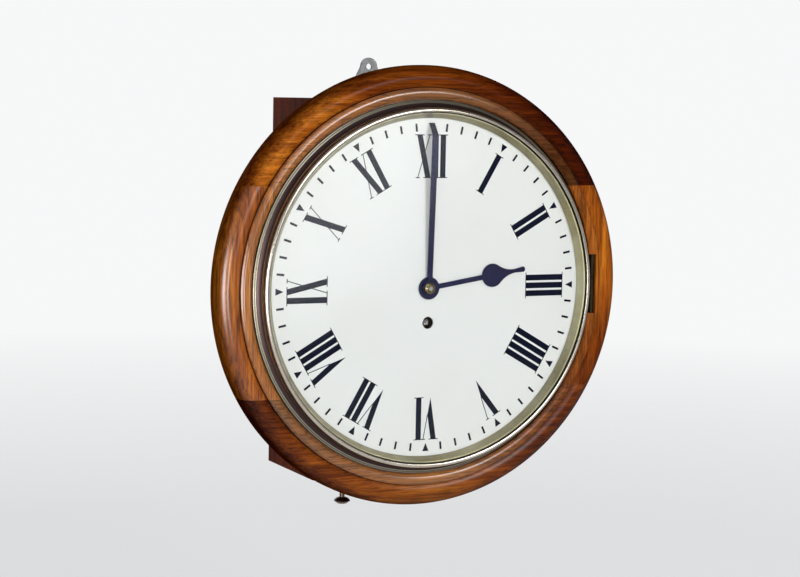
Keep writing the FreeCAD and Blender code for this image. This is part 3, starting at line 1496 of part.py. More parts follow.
# Motion work between the front plate and the dial
cannon_module = d.motion_reach * 2 / (d.cannon_leaves + d.minute_teeth)
hour_module = d.motion_reach * 2 / (d.minute_pinion_leaves + d.hour_teeth)
cannon_depth = front_plate_front + d.cannon_lift
minute_wheel_depth = front_plate_front + d.minute_wheel_lift
hour_wheel_depth = front_plate_front + d.hour_wheel_lift
minute_phase, cannon_phase = facing_phases(*motion_place, *centre_place, d.cannon_leaves)
hour_phase, minute_pinion_phase = facing_phases(*centre_place, *motion_place, d.minute_pinion_leaves)
minute_hand_depth = dial_front + d.minute_hand_rise
hour_hand_depth = dial_front + d.hour_hand_rise
cannon_leaf_ring = shaped(
    "cannon_leaf_ring",
    pinion_shape(d.cannon_leaves, cannon_module, d.cannon_length, cannon_phase, bore_radius),
    depth=cannon_depth,
)
cannon_pipe = turned("cannon_pipe", [
    (bore_radius, cannon_depth),
    (d.cannon_pipe_radius, cannon_depth),
    (d.cannon_pipe_radius, minute_hand_depth + d.hand_thickness),
    (bore_radius, minute_hand_depth + d.hand_thickness),
])
cannon_pinion = fused("cannon_pinion", cannon_leaf_ring, cannon_pipe)
post_bore = d.minute_post_radius + d.running_gap
minute_disc = shaped(
    "minute_disc", wheel_shape(d.minute_teeth, cannon_module, d.wheel_thickness, minute_phase, post_bore),
    motion_place[0], minute_wheel_depth, motion_place[1],
)
minute_leaves = shaped(
    "minute_leaves",
    pinion_shape(d.minute_pinion_leaves, hour_module, d.minute_pinion_length, minute_pinion_phase, post_bore),
    motion_place[0], minute_wheel_depth + d.wheel_thickness, motion_place[1],
)
minute_wheel = fused("minute_wheel", minute_disc, minute_leaves)
minute_post = rod(
    "minute_post", d.minute_post_radius, front_plate_back,
    minute_wheel_depth + d.wheel_thickness + d.minute_pinion_length + d.fit_gap, *motion_place,
)
front_plate = group("front_plate", front_sheet, minute_post)
hour_bore = d.bridge_pipe_radius + d.running_gap
hour_disc = shaped(
    "hour_disc", wheel_shape(d.hour_teeth, hour_module, d.wheel_thickness, hour_phase, hour_bore),
    depth=hour_wheel_depth,
)
hour_pipe = turned("hour_pipe", [
    (hour_bore, hour_wheel_depth),
    (d.hour_pipe_radius, hour_wheel_depth),
    (d.hour_pipe_radius, hour_hand_depth + d.hand_thickness),
    (hour_bore, hour_hand_depth + d.hand_thickness),
])
hour_wheel = fused("hour_wheel", hour_disc, hour_pipe)
bridge_depth = front_plate_front + d.bridge_lift
bridge_turn = FACING.multiply(FreeCAD.Rotation(NORMAL, 45))
bridge_end = d.bridge_reach + d.bridge_half_width
bridge_bar = plate("bridge_bar", [
    (-bridge_end, -d.bridge_half_width),
    (bridge_end, -d.bridge_half_width),
    (bridge_end, d.bridge_half_width),
    (-bridge_end, d.bridge_half_width),
], d.bridge_thickness, depth=bridge_depth, turn=bridge_turn)
bridge_pipe = rod("bridge_pipe", d.bridge_pipe_radius, bridge_depth, bridge_depth + d.bridge_pipe_length)
bridge_bore = rod(
    "bridge_bore", d.cannon_pipe_radius + d.running_gap, bridge_depth - d.cut_overrun,
    bridge_depth + d.bridge_pipe_length + d.cut_overrun,
)
bridge_legs = [
    rod(f"bridge_leg_{number}", d.bridge_leg_radius, front_plate_front, bridge_depth, *spot)
    for number, spot in enumerate(bridge_places)
]
bridge_fused = fused("bridge_fused", bridge_bar, bridge_pipe, *bridge_legs)
hour_bridge = less("hour_bridge", bridge_fused, bridge_bore)

# Hands
bar = d.hour_bar_half
boss_y = root(d.hour_boss_radius * d.hour_boss_radius - bar * bar)
spade_low = d.hour_spade_place - root(d.hour_spade_radius * d.hour_spade_radius - bar * bar)
neck = d.hour_neck_half
tip = d.hour_tip_half
spade = d.hour_spade_radius
neck_reach = d.hour_neck_place - d.hour_spade_place
neck_round = (neck_reach * neck_reach + neck * neck - spade * spade) / ((spade - neck) * 2)
turn_share = spade / (spade + neck_round)
turn_half = (neck + neck_round) * turn_share
turn_place = d.hour_spade_place + neck_reach * turn_share
half_outline = [
    (bar, boss_y),
    (bar, spade_low, spade),
    (spade, d.hour_spade_place, spade),
    (turn_half, turn_place, -neck_round),
    (neck, d.hour_neck_place),
    (tip, d.hour_tip_place),
    (tip - d.hour_tip_round, d.hour_hand_length),
]
hour_outline = half_outline + [
    (d.hour_tip_round - tip, d.hour_hand_length),
    (-tip, d.hour_tip_place),
    (-neck, d.hour_neck_place, -neck_round),
    (-turn_half, turn_place, spade),
    (-spade, d.hour_spade_place, spade),
    (-bar, spade_low),
    (-bar, boss_y, d.hour_boss_radius),
    (ZERO, -d.hour_boss_radius, d.hour_boss_radius),
]
hour_hand = plate(
    "hour_hand", hour_outline, d.hand_thickness, depth=hour_hand_depth,
    holes=[(ZERO, ZERO, d.hour_pipe_radius + d.running_gap)],
    turn=FACING.multiply(FreeCAD.Rotation(NORMAL, -d.hour_hand_angle.value)),
)
half = d.minute_bar_half
end_half = d.minute_end_half
minute_bend_place = d.minute_hand_length - d.minute_tip_length
minute_boss_y = root(d.minute_boss_radius * d.minute_boss_radius - half * half)
minute_plan = plate("minute_plan", [
    (half, minute_boss_y),
    (end_half, minute_bend_place),
    (d.minute_tip_half, d.minute_hand_length),
    (-d.minute_tip_half, d.minute_hand_length),
    (-end_half, minute_bend_place),
    (-half, minute_boss_y, d.minute_boss_radius),
    (ZERO, -d.minute_boss_radius, d.minute_boss_radius),
], d.minute_hand_rise + d.minute_bend_rise + d.hand_thickness + d.cut_overrun, depth=dial_front,
    holes=[(ZERO, ZERO, d.cannon_pipe_radius + d.running_gap)])
boss_end = d.minute_boss_radius * 2
minute_side = plate("minute_side", [
    (-boss_end, ZERO),
    (boss_end, ZERO),
    (minute_bend_place, d.minute_bend_rise),
    (d.minute_hand_length + d.cut_overrun, -d.minute_tip_dip),
    (d.minute_hand_length + d.cut_overrun, d.hand_thickness - d.minute_tip_dip),
    (minute_bend_place, d.minute_bend_rise + d.hand_thickness),
    (boss_end, d.hand_thickness),
    (-boss_end, d.hand_thickness),
], boss_end * 2, -boss_end, minute_hand_depth, plane="YZ_Plane")
minute_hand = shared("minute_hand", minute_plan, minute_side)
COLLET_CROWN_SHARE = 0.6
collet_depth = minute_hand_depth + d.hand_thickness
collet_blank = turned("collet_blank", [
    (bore_radius, collet_depth),
    (d.collet_radius, collet_depth),
    (d.collet_radius, collet_depth + d.collet_height / 2),
    (d.collet_radius * COLLET_CROWN_SHARE, collet_depth + d.collet_height),
    (bore_radius, collet_depth + d.collet_height),
])
collet_dome = less("collet_dome", collet_blank, hand_pin_room)
hand_pin = bar_across(
    "hand_pin", d.hand_pin_radius, -d.hand_pin_half_length, d.hand_pin_half_length, hand_pin_depth, ZERO,
)
hand_collet = group("hand_collet", collet_dome, hand_pin)

NODES = [
    surround_boards["top"], surround_boards["bottom"], surround_boards["left"], surround_boards["right"],
    surround_lugs, case_pegs, box_side_left, box_side_right, box_top, box_bottom, back_board,
    hanger_plate, wood_screws, bottom_door, door_hinge_fixed, door_hinge_moving, door_knob,
    dial, dial_feet, cross_pins, bezel, glass, sight_ring, bezel_hinge_fixed, bezel_hinge_moving,
    bezel_catch, front_plate, back_plate, plate_pillars, centre_arbor, centre_wheel, third_arbor,
    third_wheel, escape_arbor, escape_wheel, anchor, pallet_arbor, back_cock, suspension_spring,
    pendulum_rod, pendulum_bob, rating_nut, great_wheel, fusee_click, fusee, fusee_arbor, barrel,
    barrel_arbor, setup_click, mainspring, fusee_line, cannon_pinion, minute_wheel, hour_wheel,
    hour_bridge, hour_hand, minute_hand, hand_collet,
]

doc.recompute()
for thing in doc.Objects:
    if "Invalid" in thing.State or "Error" in thing.State:
        raise RuntimeError(f"{thing.Label} failed: {thing.State}")
for node in NODES:
    if node.Shape.isNull() or not node.Shape.isValid() or not node.Shape.Solids:
        raise RuntimeError(f"{node.Label} is not a sound solid")

os.makedirs("parts", exist_ok=True)
for node in NODES:
    node.Shape.exportStep(f"parts/{node.Label}.step")
print(len(NODES), "sub-parts,", sum(len(node.Shape.Solids) for node in NODES), "solids")
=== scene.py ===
import json
import math

import bmesh
import bpy
from mathutils import Matrix, Vector


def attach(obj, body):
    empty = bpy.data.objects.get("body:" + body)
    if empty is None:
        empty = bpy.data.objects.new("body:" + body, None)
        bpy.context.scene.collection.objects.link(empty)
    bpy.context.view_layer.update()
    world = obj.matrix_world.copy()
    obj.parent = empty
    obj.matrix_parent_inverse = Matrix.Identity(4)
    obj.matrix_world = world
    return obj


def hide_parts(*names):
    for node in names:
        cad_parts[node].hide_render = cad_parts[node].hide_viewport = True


# Looks of a round oak railway clock. Its lengths are in millimetres, and at() scales them to metres.
# Depth is counted from the wall towards the reader, so it is minus Y. X is to the right and Z is up.
# Only the stage, the lamps and the camera are placed in metres.

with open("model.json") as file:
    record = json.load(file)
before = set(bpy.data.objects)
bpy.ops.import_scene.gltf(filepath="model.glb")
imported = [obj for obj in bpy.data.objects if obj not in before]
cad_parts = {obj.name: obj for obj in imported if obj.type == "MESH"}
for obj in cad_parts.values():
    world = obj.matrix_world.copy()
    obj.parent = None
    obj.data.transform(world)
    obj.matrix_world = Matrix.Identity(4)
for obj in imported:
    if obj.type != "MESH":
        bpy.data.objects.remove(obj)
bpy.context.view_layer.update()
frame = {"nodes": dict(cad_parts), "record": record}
nodes = frame["nodes"]

MM = 0.001
DIAL_FRONT = 133.0
BOX_DEPTH = 103.0


def at(x, depth, z):
    """A point of the clock, from millimetres to the frame's metres."""
    return Vector((x * MM, -depth * MM, z * MM))


def dial_axes(angle):
    """Outward and sideways directions on the dial. The angle is in degrees clockwise from twelve."""
    turn = math.radians(angle)
    return Vector((math.sin(turn), math.cos(turn))), Vector((math.cos(turn), -math.sin(turn)))


# Materials
CLOCK_SPAN = 400.0
RING_START = 160.0
RING_WIDTH = 32.0


def span_share(spot):
    """The share of the clock's span at a place in millimetres from its middle."""
    return 0.5 + spot / CLOCK_SPAN


def grey(level):
    return (level, level, level, 1)


def shaded(colour, share):
    return (colour[0] * share, colour[1] * share, colour[2] * share, 1)


def stain_and_shade_tint(share):
    """What stain and painted shade let through of each colour: the deeper, the redder. Shares above one are
    painted light.
    """
    return (share, share ** 1.4, share ** 1.6, 1)


class Nodes:
    """Short calls that build a node tree."""

    def __init__(self, tree):
        self.tree = tree

    def node(self, kind, links=None, **settings):
        made = self.tree.nodes.new("ShaderNode" + kind)
        for setting, value in settings.items():
            setattr(made, setting, value)
        for socket, source in (links or {}).items():
            self.feed(made.inputs[socket], source)
        return made

    def feed(self, socket, source):
        """Links an output to a socket, or sets the socket to a plain value."""
        if isinstance(source, bpy.types.NodeSocket):
            self.tree.links.new(source, socket)
        else:
            socket.default_value = source

    def calc(self, operation, first, second=0.0, clamp=False):
        made = self.node("Math", {0: first, 1: second}, operation=operation, use_clamp=clamp)
        return made.outputs[0]

    def along(self, vector, heading):
        """How far a vector reaches in a heading."""
        made = self.node("VectorMath", {0: vector, 1: heading}, operation="DOT_PRODUCT")
        return made.outputs["Value"]

    def blend(self, factor, first, second):
        """One shader or the other."""
        return self.node("MixShader", {0: factor, 1: first, 2: second}).outputs[0]


class Surface(Nodes):
    """A Principled material and the textures that feed it."""

    def __init__(self, name, **inputs):
        self.material = bpy.data.materials.new(name)
        self.material.use_nodes = True
        super().__init__(self.material.node_tree)
        self.shader = self.tree.nodes["Principled BSDF"]
        for socket, value in inputs.items():
            self.shader.inputs[socket.replace("_", " ")].default_value = value

    def mix(self, factor, first, second, blend="MIX"):
        made = self.node("Mix", data_type="RGBA", blend_type=blend)
        self.feed(made.inputs[0], factor)
        self.feed(made.inputs[6], first)
        self.feed(made.inputs[7], second)
        return made.outputs[2]

    def ramp(self, factor, stops):
        made = self.node("ValToRGB", {0: factor})
        elements = made.color_ramp.elements
        while len(elements) < len(stops):
            elements.new(0.5)
        for element, (place, colour) in zip(elements, stops):
            element.position = place
            element.color = colour
        return made.outputs[0]

    def grey_ramp(self, factor, *stops):
        return self.ramp(factor, [(place, grey(level)) for place, level in stops])

    def place(self):
        return self.node("TexCoord").outputs["Object"]

    def normal(self):
        return self.node("NewGeometry").outputs["Normal"]

    def part(self, vector, axis):
        """One coordinate of a vector."""
        return self.node("SeparateXYZ", {0: vector}).outputs["XYZ".index(axis)]

    def radius(self):
        """Distance from the axis of the dial."""
        place = self.place()
        squares = []
        for axis in "XZ":
            length = self.part(place, axis)
            squares.append(self.calc("MULTIPLY", length, length))
        return self.calc("SQRT", self.calc("ADD", *squares))

    def across_clock(self, axis):
        """The place along an axis as a share of the clock's span, with its middle at a half."""
        share = self.calc("DIVIDE", self.part(self.place(), axis), CLOCK_SPAN * MM)
        return self.calc("ADD", share, 0.5)

    def scaled(self, vector, scale, shift=(0, 0, 0), turn=(0, 0, 0)):
        made = self.node("Mapping", {"Vector": vector, "Scale": scale, "Location": shift, "Rotation": turn})
        return made.outputs[0]

    def noise(self, vector, scale, detail=4.0, rough=0.55, distort=0.0):
        settings = {"Scale": scale, "Detail": detail, "Roughness": rough, "Distortion": distort}
        return self.node("TexNoise", {"Vector": vector, **settings}).outputs[0]

    def bump(self, height, strength, distance):
        made = self.node("Bump", {"Height": height, "Strength": strength, "Distance": distance})
        self.set("Normal", made.outputs[0])

    def set(self, socket, source):
        self.feed(self.shader.inputs[socket], source)

    def show(self, shader):
        """Makes a shader the one that the surface shows."""
        self.feed(self.tree.nodes["Material Output"].inputs["Surface"], shader)


GRAIN_TURNS = {"X": (0, 0, 0), "Z": (0, math.pi / 2, 0)}
GRAIN_AXES = {"X": (1, 0, 0), "Z": (0, 0, 1)}
END_GRAIN = (0.40, 0.27, 0.24, 1)


class Timber(Surface):
    """Varnished timber: growth bands along the grain, dark streaks, open pores and darker end grain."""

    def __init__(self, name, grain, tones, shift, gloss, pores=1.0):
        super().__init__(name, Specular_IOR_Level=0.0, Coat_Weight=gloss, Coat_Roughness=0.22, Coat_IOR=1.6)
        pale, middle, dark = tones
        board = self.scaled(self.place(), (1, 1, 1), shift, GRAIN_TURNS[grain])
        sway = self.noise(self.scaled(board, (4, 14, 14)), 1.0, 3.0)
        bands = self.noise(self.scaled(board, (5, 150, 150)), 1.0, 5.0, 0.62, 0.5)
        streaks = self.noise(self.scaled(board, (16, 520, 520)), 1.0, 3.0, 0.6)
        pits = self.noise(self.scaled(board, (60, 1000, 1000)), 1.0, 2.0, 0.5)
        figure = self.calc("ADD", self.calc("MULTIPLY", bands, 0.62), self.calc("MULTIPLY", sway, 0.38))
        colour = self.ramp(figure, [(0.32, dark), (0.48, middle), (0.64, pale)])
        self.streak = self.grey_ramp(streaks, (0.37, 0.45), (0.53, 1.0))
        colour = self.mix(0.85 * pores, colour, self.streak, "MULTIPLY")
        pore = self.grey_ramp(pits, (0.36, 0.2), (0.47, 1.0))
        colour = self.mix(0.45 * pores, colour, pore, "MULTIPLY")
        facing = self.calc("ABSOLUTE", self.along(self.normal(), GRAIN_AXES[grain]))
        end = self.grey_ramp(facing, (0.15, 0), (0.70, 1))
        self.colour = self.mix(end, colour, self.mix(1.0, colour, END_GRAIN, "MULTIPLY"))
        self.set("Base Color", self.colour)
        self.set("Roughness", self.grey_ramp(streaks, (0.3, 0.55), (0.7, 0.38)))
        self.bump(self.calc("MULTIPLY", pits, streaks), 0.12, 0.0006)


# Paler oak where the moulding faces the front: rubbed wear with painted sheen
RUB_AND_SHEEN_OAK = (0.42, 0.205, 0.062, 1)
RUB_AND_SHEEN_MOST = 0.36
MOULDING_GLOSS = 0.85
# The moulding's rub with its painted sheen, and its coat's sheen, fade between these places to the right of
# the middle
FADE_START = 30.0
FADE_END = 120.0


def turned_board(name, grain, tones, shift, gloss, stain_and_shade_along):
    """A board of the turned ring, with its stain, painted light and painted shade along the grain as
    (millimetres, share).

    The moulding is rubbed paler, and the paler colour also holds a painted sheen. Painted shade darkens the
    quirk beside it and the outer edge.
    """
    board = Timber(name, grain, tones, shift, gloss)
    # Stain along each board, with painted shade where it turns from the light and painted light where it is
    # lit
    stops = [(span_share(spot), stain_and_shade_tint(share)) for spot, share in stain_and_shade_along]
    colour = board.mix(1.0, board.colour, board.ramp(board.across_clock(grain), stops), "MULTIPLY")
    # Reach is 0 in the groove that holds the bezel, and 1 just past the outer edge
    past_groove = board.calc("SUBTRACT", board.radius(), RING_START * MM)
    reach = board.calc("DIVIDE", past_groove, RING_WIDTH * MM)
    rightward = board.across_clock("X")
    fade_start, fade_end = span_share(FADE_START), span_share(FADE_END)
    # Rubbed wear and painted sheen on the front-facing moulding, fading to the right
    ahead = board.calc("MULTIPLY", board.part(board.normal(), "Y"), -1.0)
    front = board.grey_ramp(ahead, (0.05, 0), (0.20, RUB_AND_SHEEN_MOST))
    rub_and_sheen = board.calc("MULTIPLY", board.grey_ramp(reach, (0.28, 1), (0.41, 0)), front)
    kept = board.grey_ramp(rightward, (fade_start, 1), (fade_end, 0.35))
    rub_and_sheen = board.calc("MULTIPLY", rub_and_sheen, kept)
    colour = board.mix(rub_and_sheen, colour, board.mix(1.0, RUB_AND_SHEEN_OAK, board.streak, "MULTIPLY"))
    # Painted shade: darker in the quirk beside the moulding and towards the outer edge
    quirk = [(0.345, 1), (0.357, 0.45), (0.370, 0.5), (0.385, 1)]
    edge = [(0.62, 1), (0.84, 0.7), (0.95, 0.42)]
    colour = board.mix(1.0, colour, board.grey_ramp(reach, *quirk, *edge), "MULTIPLY")
    board.set("Base Color", colour)
    moulding = board.grey_ramp(reach, (0.34, 1), (0.40, 0))
    sheen = board.grey_ramp(rightward, (fade_start, MOULDING_GLOSS), (fade_end, gloss))
    cushion = board.grey_ramp(reach, (0.80, gloss), (0.92, 0))
    board.set("Coat Weight", board.mix(moulding, cushion, sheen))
    return board.material


SMOOTHEST = 0.04


def metal(name, colour, tarnish, roughness, scratch=(300, 300, 300), amount=0.5):
    """Metal with patches of tarnish and fine lines left by working it."""
    surface = Surface(name, Metallic=1.0)
    place = surface.place()
    patches = surface.noise(place, 22.0, 6.0, 0.6)
    lines = surface.noise(surface.scaled(place, scratch), 1.0, 3.0, 0.6)
    tone = surface.calc("MULTIPLY", surface.grey_ramp(patches, (0.38, 1), (0.66, 0)), amount)
    surface.set("Base Color", surface.mix(tone, colour, tarnish))
    low = max(roughness - 0.08, SMOOTHEST)
    surface.set("Roughness", surface.grey_ramp(lines, (0.3, low), (0.75, roughness + 0.14)))
    surface.bump(lines, 0.05, 0.0002)
    return surface.material


ZONE_EASE = 0.3


def spun_metal(name, colour, tarnish, roughness, zones, amount=0.5):
    """Metal turned on a lathe: its fine lines run round the middle of the dial.

    Zones are bands, each from one radius to another with its own colour and roughness.
    """
    surface = Surface(name, Metallic=1.0)
    radius = surface.radius()
    place = surface.place()
    track = surface.node("CombineXYZ", {0: radius, 1: surface.part(place, "Y")}).outputs[0]
    lines = surface.noise(track, 2600.0, 2.0, 0.6)
    patches = surface.noise(place, 26.0, 6.0, 0.65)
    specks = surface.noise(place, 420.0, 3.0, 0.6)
    tone = surface.calc("MULTIPLY", surface.grey_ramp(patches, (0.36, 1), (0.64, 0)), amount)
    speck = surface.grey_ramp(specks, (0.30, 0.55), (0.38, 1))
    base = surface.mix(tone, colour, tarnish)
    low = max(roughness - 0.06, SMOOTHEST)
    finish = surface.grey_ramp(lines, (0.3, low), (0.75, roughness + 0.12))
    for inner, outer, zone_colour, zone_roughness in zones:
        past_inner = surface.calc("SUBTRACT", radius, inner * MM)
        short_of_outer = surface.calc("SUBTRACT", outer * MM, radius)
        start = surface.calc("DIVIDE", past_inner, ZONE_EASE * MM, True)
        end = surface.calc("DIVIDE", short_of_outer, ZONE_EASE * MM, True)
        within = surface.calc("MULTIPLY", start, end)
        base = surface.mix(within, base, zone_colour)
        finish = surface.mix(within, finish, grey(zone_roughness))
    surface.set("Base Color", surface.mix(0.7, base, speck, "MULTIPLY"))
    surface.set("Roughness", finish)
    surface.bump(lines, 0.04, 0.0002)
    return surface.material


def paint(name, colour, worn, roughness, shine=0.5):
    """Brushed paint with faint clouding and a slight texture."""
    surface = Surface(name, Specular_IOR_Level=shine, Coat_Weight=0.3 * shine, Coat_Roughness=0.3)
    place = surface.place()
    clouds = surface.noise(place, 9.0, 5.0, 0.6)
    grain = surface.noise(place, 700.0, 3.0, 0.6)
    wear = surface.grey_ramp(clouds, (0.45, 0), (0.75, 1))
    surface.set("Base Color", surface.mix(wear, colour, worn))
    surface.set("Roughness", surface.grey_ramp(grain, (0.3, roughness - 0.05), (0.7, roughness + 0.08)))
    surface.bump(grain, 0.04, 0.0002)
    return surface.material


def clear_glass(name):
    """Window glass that lets lamps through to the dial and still mirrors the room."""
    tint = (0.97, 0.99, 0.985, 1)
    surface = Surface(name, Transmission_Weight=1.0, IOR=1.3, Roughness=0.0, Base_Color=tint)
    surface.bump(surface.noise(surface.place(), 14.0, 2.0, 0.5), 0.02, 0.001)
    rays = surface.node("LightPath").outputs
    passing = surface.calc("MAXIMUM", rays["Is Shadow Ray"], rays["Is Diffuse Ray"])
    clear = surface.node("BsdfTransparent").outputs[0]
    surface.show(surface.blend(passing, surface.shader.outputs[0], clear))
    return surface.material


# Timbers are given as their pale, middle and dark tones
OAK = ((0.54, 0.17, 0.013, 1), (0.27, 0.066, 0.005, 1), (0.085, 0.0145, 0.0012, 1))
MAHOGANY = ((0.18, 0.034, 0.012, 1), (0.10, 0.017, 0.006, 1), (0.045, 0.008, 0.003, 1))
PEG_WOOD = ((0.42, 0.24, 0.10, 1), (0.30, 0.15, 0.06, 1), (0.16, 0.07, 0.03, 1))
# Each board of the surround: its grain, its tone against the common one, its place in the tree, its gloss,
# and its stain along the grain from end to end, which also holds painted light and painted shade
OAK_BOARDS = {
    "top": (
        "X", 1.4, (0.3, 0.1, 0.7), 0.06,
        [(-150, 1.6), (-115, 1.1), (-60, 0.5), (10, 0.4), (60, 0.27), (120, 0.13)],
    ),
    "bottom": (
        "X", 1.15, (1.7, 0.4, 0.2), 0.22,
        [(-130, 0.5), (-50, 0.75), (10, 0.95), (70, 0.62), (125, 0.42)],
    ),
    "left": ("Z", 1.4, (2.3, 0.9, 0.5), 0.8, [(-110, 0.95), (0, 1.0), (110, 0.9)]),
    "right": ("Z", 1.5, (3.1, 0.6, 1.3), 0.1, [(-110, 0.26), (-50, 0.5), (0, 0.92), (110, 0.85)]),
}
oak = {}
for side, (grain, share, shift, gloss, stain_and_shade_along) in OAK_BOARDS.items():
    tones = [shaded(colour, share) for colour in OAK]
    oak[side] = turned_board("oak_" + side, grain, tones, shift, gloss, stain_and_shade_along)
mahogany_upright = Timber("mahogany_upright", "Z", MAHOGANY, (0.2, 0.3, 0.4), 0.08, 0.7).material
mahogany_level = Timber("mahogany_level", "X", MAHOGANY, (0.8, 0.1, 0.9), 0.08, 0.7).material
peg_wood = Timber("peg_wood", "X", PEG_WOOD, (1, 2, 3), 0.1).material
# The bezel is painted dark as shade under its lip, in its hollow and at its outer edge, with a dull band
# between hollow and edge
BEZEL_ZONES = [
    (149.0, 151.3, (0.030, 0.022, 0.020, 1), 0.4),
    (154.7, 158.7, (0.060, 0.040, 0.038, 1), 0.42),
    (158.7, 160.4, (0.14, 0.13, 0.085, 1), 0.45),
    (160.4, 162.0, (0.022, 0.015, 0.012, 1), 0.5),
]
bezel_brass = spun_metal("bezel_brass", (0.58, 0.53, 0.46, 1), (0.40, 0.35, 0.27, 1), 0.16, BEZEL_ZONES)
# The sight ring has a painted highlight along its rim and painted shade on the flat behind it
SIGHT_ZONES = [(149.2, 150.2, (0.72, 0.66, 0.40, 1), 0.3), (150.2, 153.0, (0.05, 0.04, 0.03, 1), 0.4)]
sight_brass = spun_metal("sight_brass", (0.38, 0.35, 0.24, 1), (0.24, 0.20, 0.10, 1), 0.4, SIGHT_ZONES, 0.8)
movement_brass = metal("movement_brass", (0.70, 0.53, 0.25, 1), (0.48, 0.34, 0.15, 1), 0.3, (900, 900, 30))
collet_brass = metal("collet_brass", (0.19, 0.15, 0.065, 1), (0.09, 0.07, 0.03, 1), 0.24, amount=0.8)
aged_brass = metal("aged_brass", (0.40, 0.29, 0.14, 1), (0.16, 0.10, 0.05, 1), 0.36, amount=0.8)
# The hinge is painted near black as the shade of the slot it sits in
hinge_brass_in_shade = metal("hinge_brass_in_shade", (0.030, 0.022, 0.014, 1), (0.012, 0.009, 0.006, 1), 0.45, amount=0.8)
knob_brass = metal("knob_brass", (0.16, 0.11, 0.075, 1), (0.06, 0.04, 0.03, 1), 0.28, amount=0.8)
steel = metal("steel", (0.50, 0.51, 0.53, 1), (0.32, 0.32, 0.33, 1), 0.3, (800, 60, 800))
blued = metal("blued_steel", (0.018, 0.018, 0.046, 1), (0.014, 0.013, 0.034, 1), 0.36, (120, 120, 900))
dull_steel = metal("dull_steel", (0.20, 0.20, 0.205, 1), (0.12, 0.12, 0.125, 1), 0.5, amount=0.8)
dial_paint = paint("dial_paint", (0.83, 0.835, 0.82, 1), (0.80, 0.80, 0.775, 1), 0.38)
ink = paint("ink", (0.003, 0.005, 0.017, 1), (0.007, 0.009, 0.026, 1), 0.42, 0.0)
gut = paint("gut", (0.42, 0.28, 0.12, 1), (0.30, 0.18, 0.07, 1), 0.5)
glass = clear_glass("dial_glass")

# Meshes
SHARP_ANGLE = 32.0


def link(thing):
    bpy.context.scene.collection.objects.link(thing)


def add_piece(name, mesh, material, body, replaced=()):
    piece = bpy.data.objects.new(name, mesh)
    link(piece)
    mesh.materials.clear()
    mesh.materials.append(material)
    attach(piece, body)
    if replaced:
        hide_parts(*replaced)


def smooth(mesh, sharp_angle=SHARP_ANGLE):
    mesh.shade_smooth()
    mesh.set_sharp_from_angle(angle=math.radians(sharp_angle))


def stored(work, name):
    """Mesh data from a work mesh, which is used up."""
    mesh = bpy.data.meshes.new(name)
    work.to_mesh(mesh)
    work.free()
    return mesh


def finished(work, name, sharp_angle=SHARP_ANGLE):
    """Turns a work mesh into mesh data with sound normals."""
    bmesh.ops.recalc_face_normals(work, faces=work.faces[:])
    mesh = stored(work, name)
    smooth(mesh, sharp_angle)
    return mesh


def arc(start, end, radius, steps):
    """Points after start on the short arc to end. It turns left for a positive radius, else right."""
    first, last = Vector(start), Vector(end)
    span = last - first
    side = Vector((-span.y, span.x)).normalized() * (1 if radius > 0 else -1)
    rise = math.sqrt(max(radius * radius - span.length_squared / 4, 0.0))
    centre = (first + last) / 2 + side * rise
    begin = math.atan2(first.y - centre.y, first.x - centre.x)
    sweep = abs((first - centre).angle_signed(last - centre))
    sweep = sweep if radius > 0 else -sweep
    points = []
    for step in range(1, steps + 1):
        angle = begin + sweep * step / steps
        points.append((centre.x + abs(radius) * math.cos(angle), centre.y + abs(radius) * math.sin(angle)))
    return points


LATHE_SEGMENTS = 320


def lathe(profile):
    """A work mesh: a closed profile of (radius, depth) points turned about the middle of the dial."""
    work = bmesh.new()
    rings = []
    for segment in range(LATHE_SEGMENTS):
        out = dial_axes(360.0 * segment / LATHE_SEGMENTS)[0]
        rings.append([work.verts.new(at(radius * out.x, depth, radius * out.y)) for radius, depth in profile])
    count = len(profile)
    for here, there in zip(rings, rings[1:] + rings[:1]):
        for number in range(count):
            after = (number + 1) % count
            work.faces.new((here[number], here[after], there[after], there[number]))
    bmesh.ops.recalc_face_normals(work, faces=work.faces[:])
    return work


def keep_side(work, point, normal):
    """Saws a work mesh along a plane, keeps the side the normal points away from and closes the cut."""
    geometry = work.verts[:] + work.edges[:] + work.faces[:]
    result = bmesh.ops.bisect_plane(work, geom=geometry, plane_co=point, plane_no=normal, clear_outer=True)
    cut = [item for item in result["geom_cut"] if isinstance(item, bmesh.types.BMEdge)]
    bmesh.ops.triangle_fill(work, edges=cut, use_beauty=True)


def block(low, high):
    """A rectangular work mesh between two corners in millimetres, given as x, depth and z."""
    work = bmesh.new()
    bmesh.ops.create_cube(work, size=1.0)
    first, second = at(*low), at(*high)
    size = second - first
    scale = Matrix.Diagonal((abs(size.x), abs(size.y), abs(size.z), 1))
    move = Matrix.Translation((first + second) / 2)
    bmesh.ops.transform(work, matrix=move @ scale, verts=work.verts[:])
    return work


def carved(mesh, cutters):
    """The mesh less its cutters, which are pairs of corners."""
    base = bpy.data.objects.new("carving", mesh)
    link(base)
    tools = []
    for number, corners in enumerate(cutters):
        tool = bpy.data.objects.new("cutter", finished(block(*corners), "cutter"))
        link(tool)
        modifier = base.modifiers.new(f"cut_{number}", "BOOLEAN")
        modifier.object = tool
        modifier.operation = "DIFFERENCE"
        modifier.solver = "EXACT"
        tools.append(tool)
    graph = bpy.context.evaluated_depsgraph_get()
    graph.update()
    result = bpy.data.meshes.new_from_object(base.evaluated_get(graph))
    for thing in tools + [base]:
        bpy.data.objects.remove(thing)
    smooth(result)
    return result


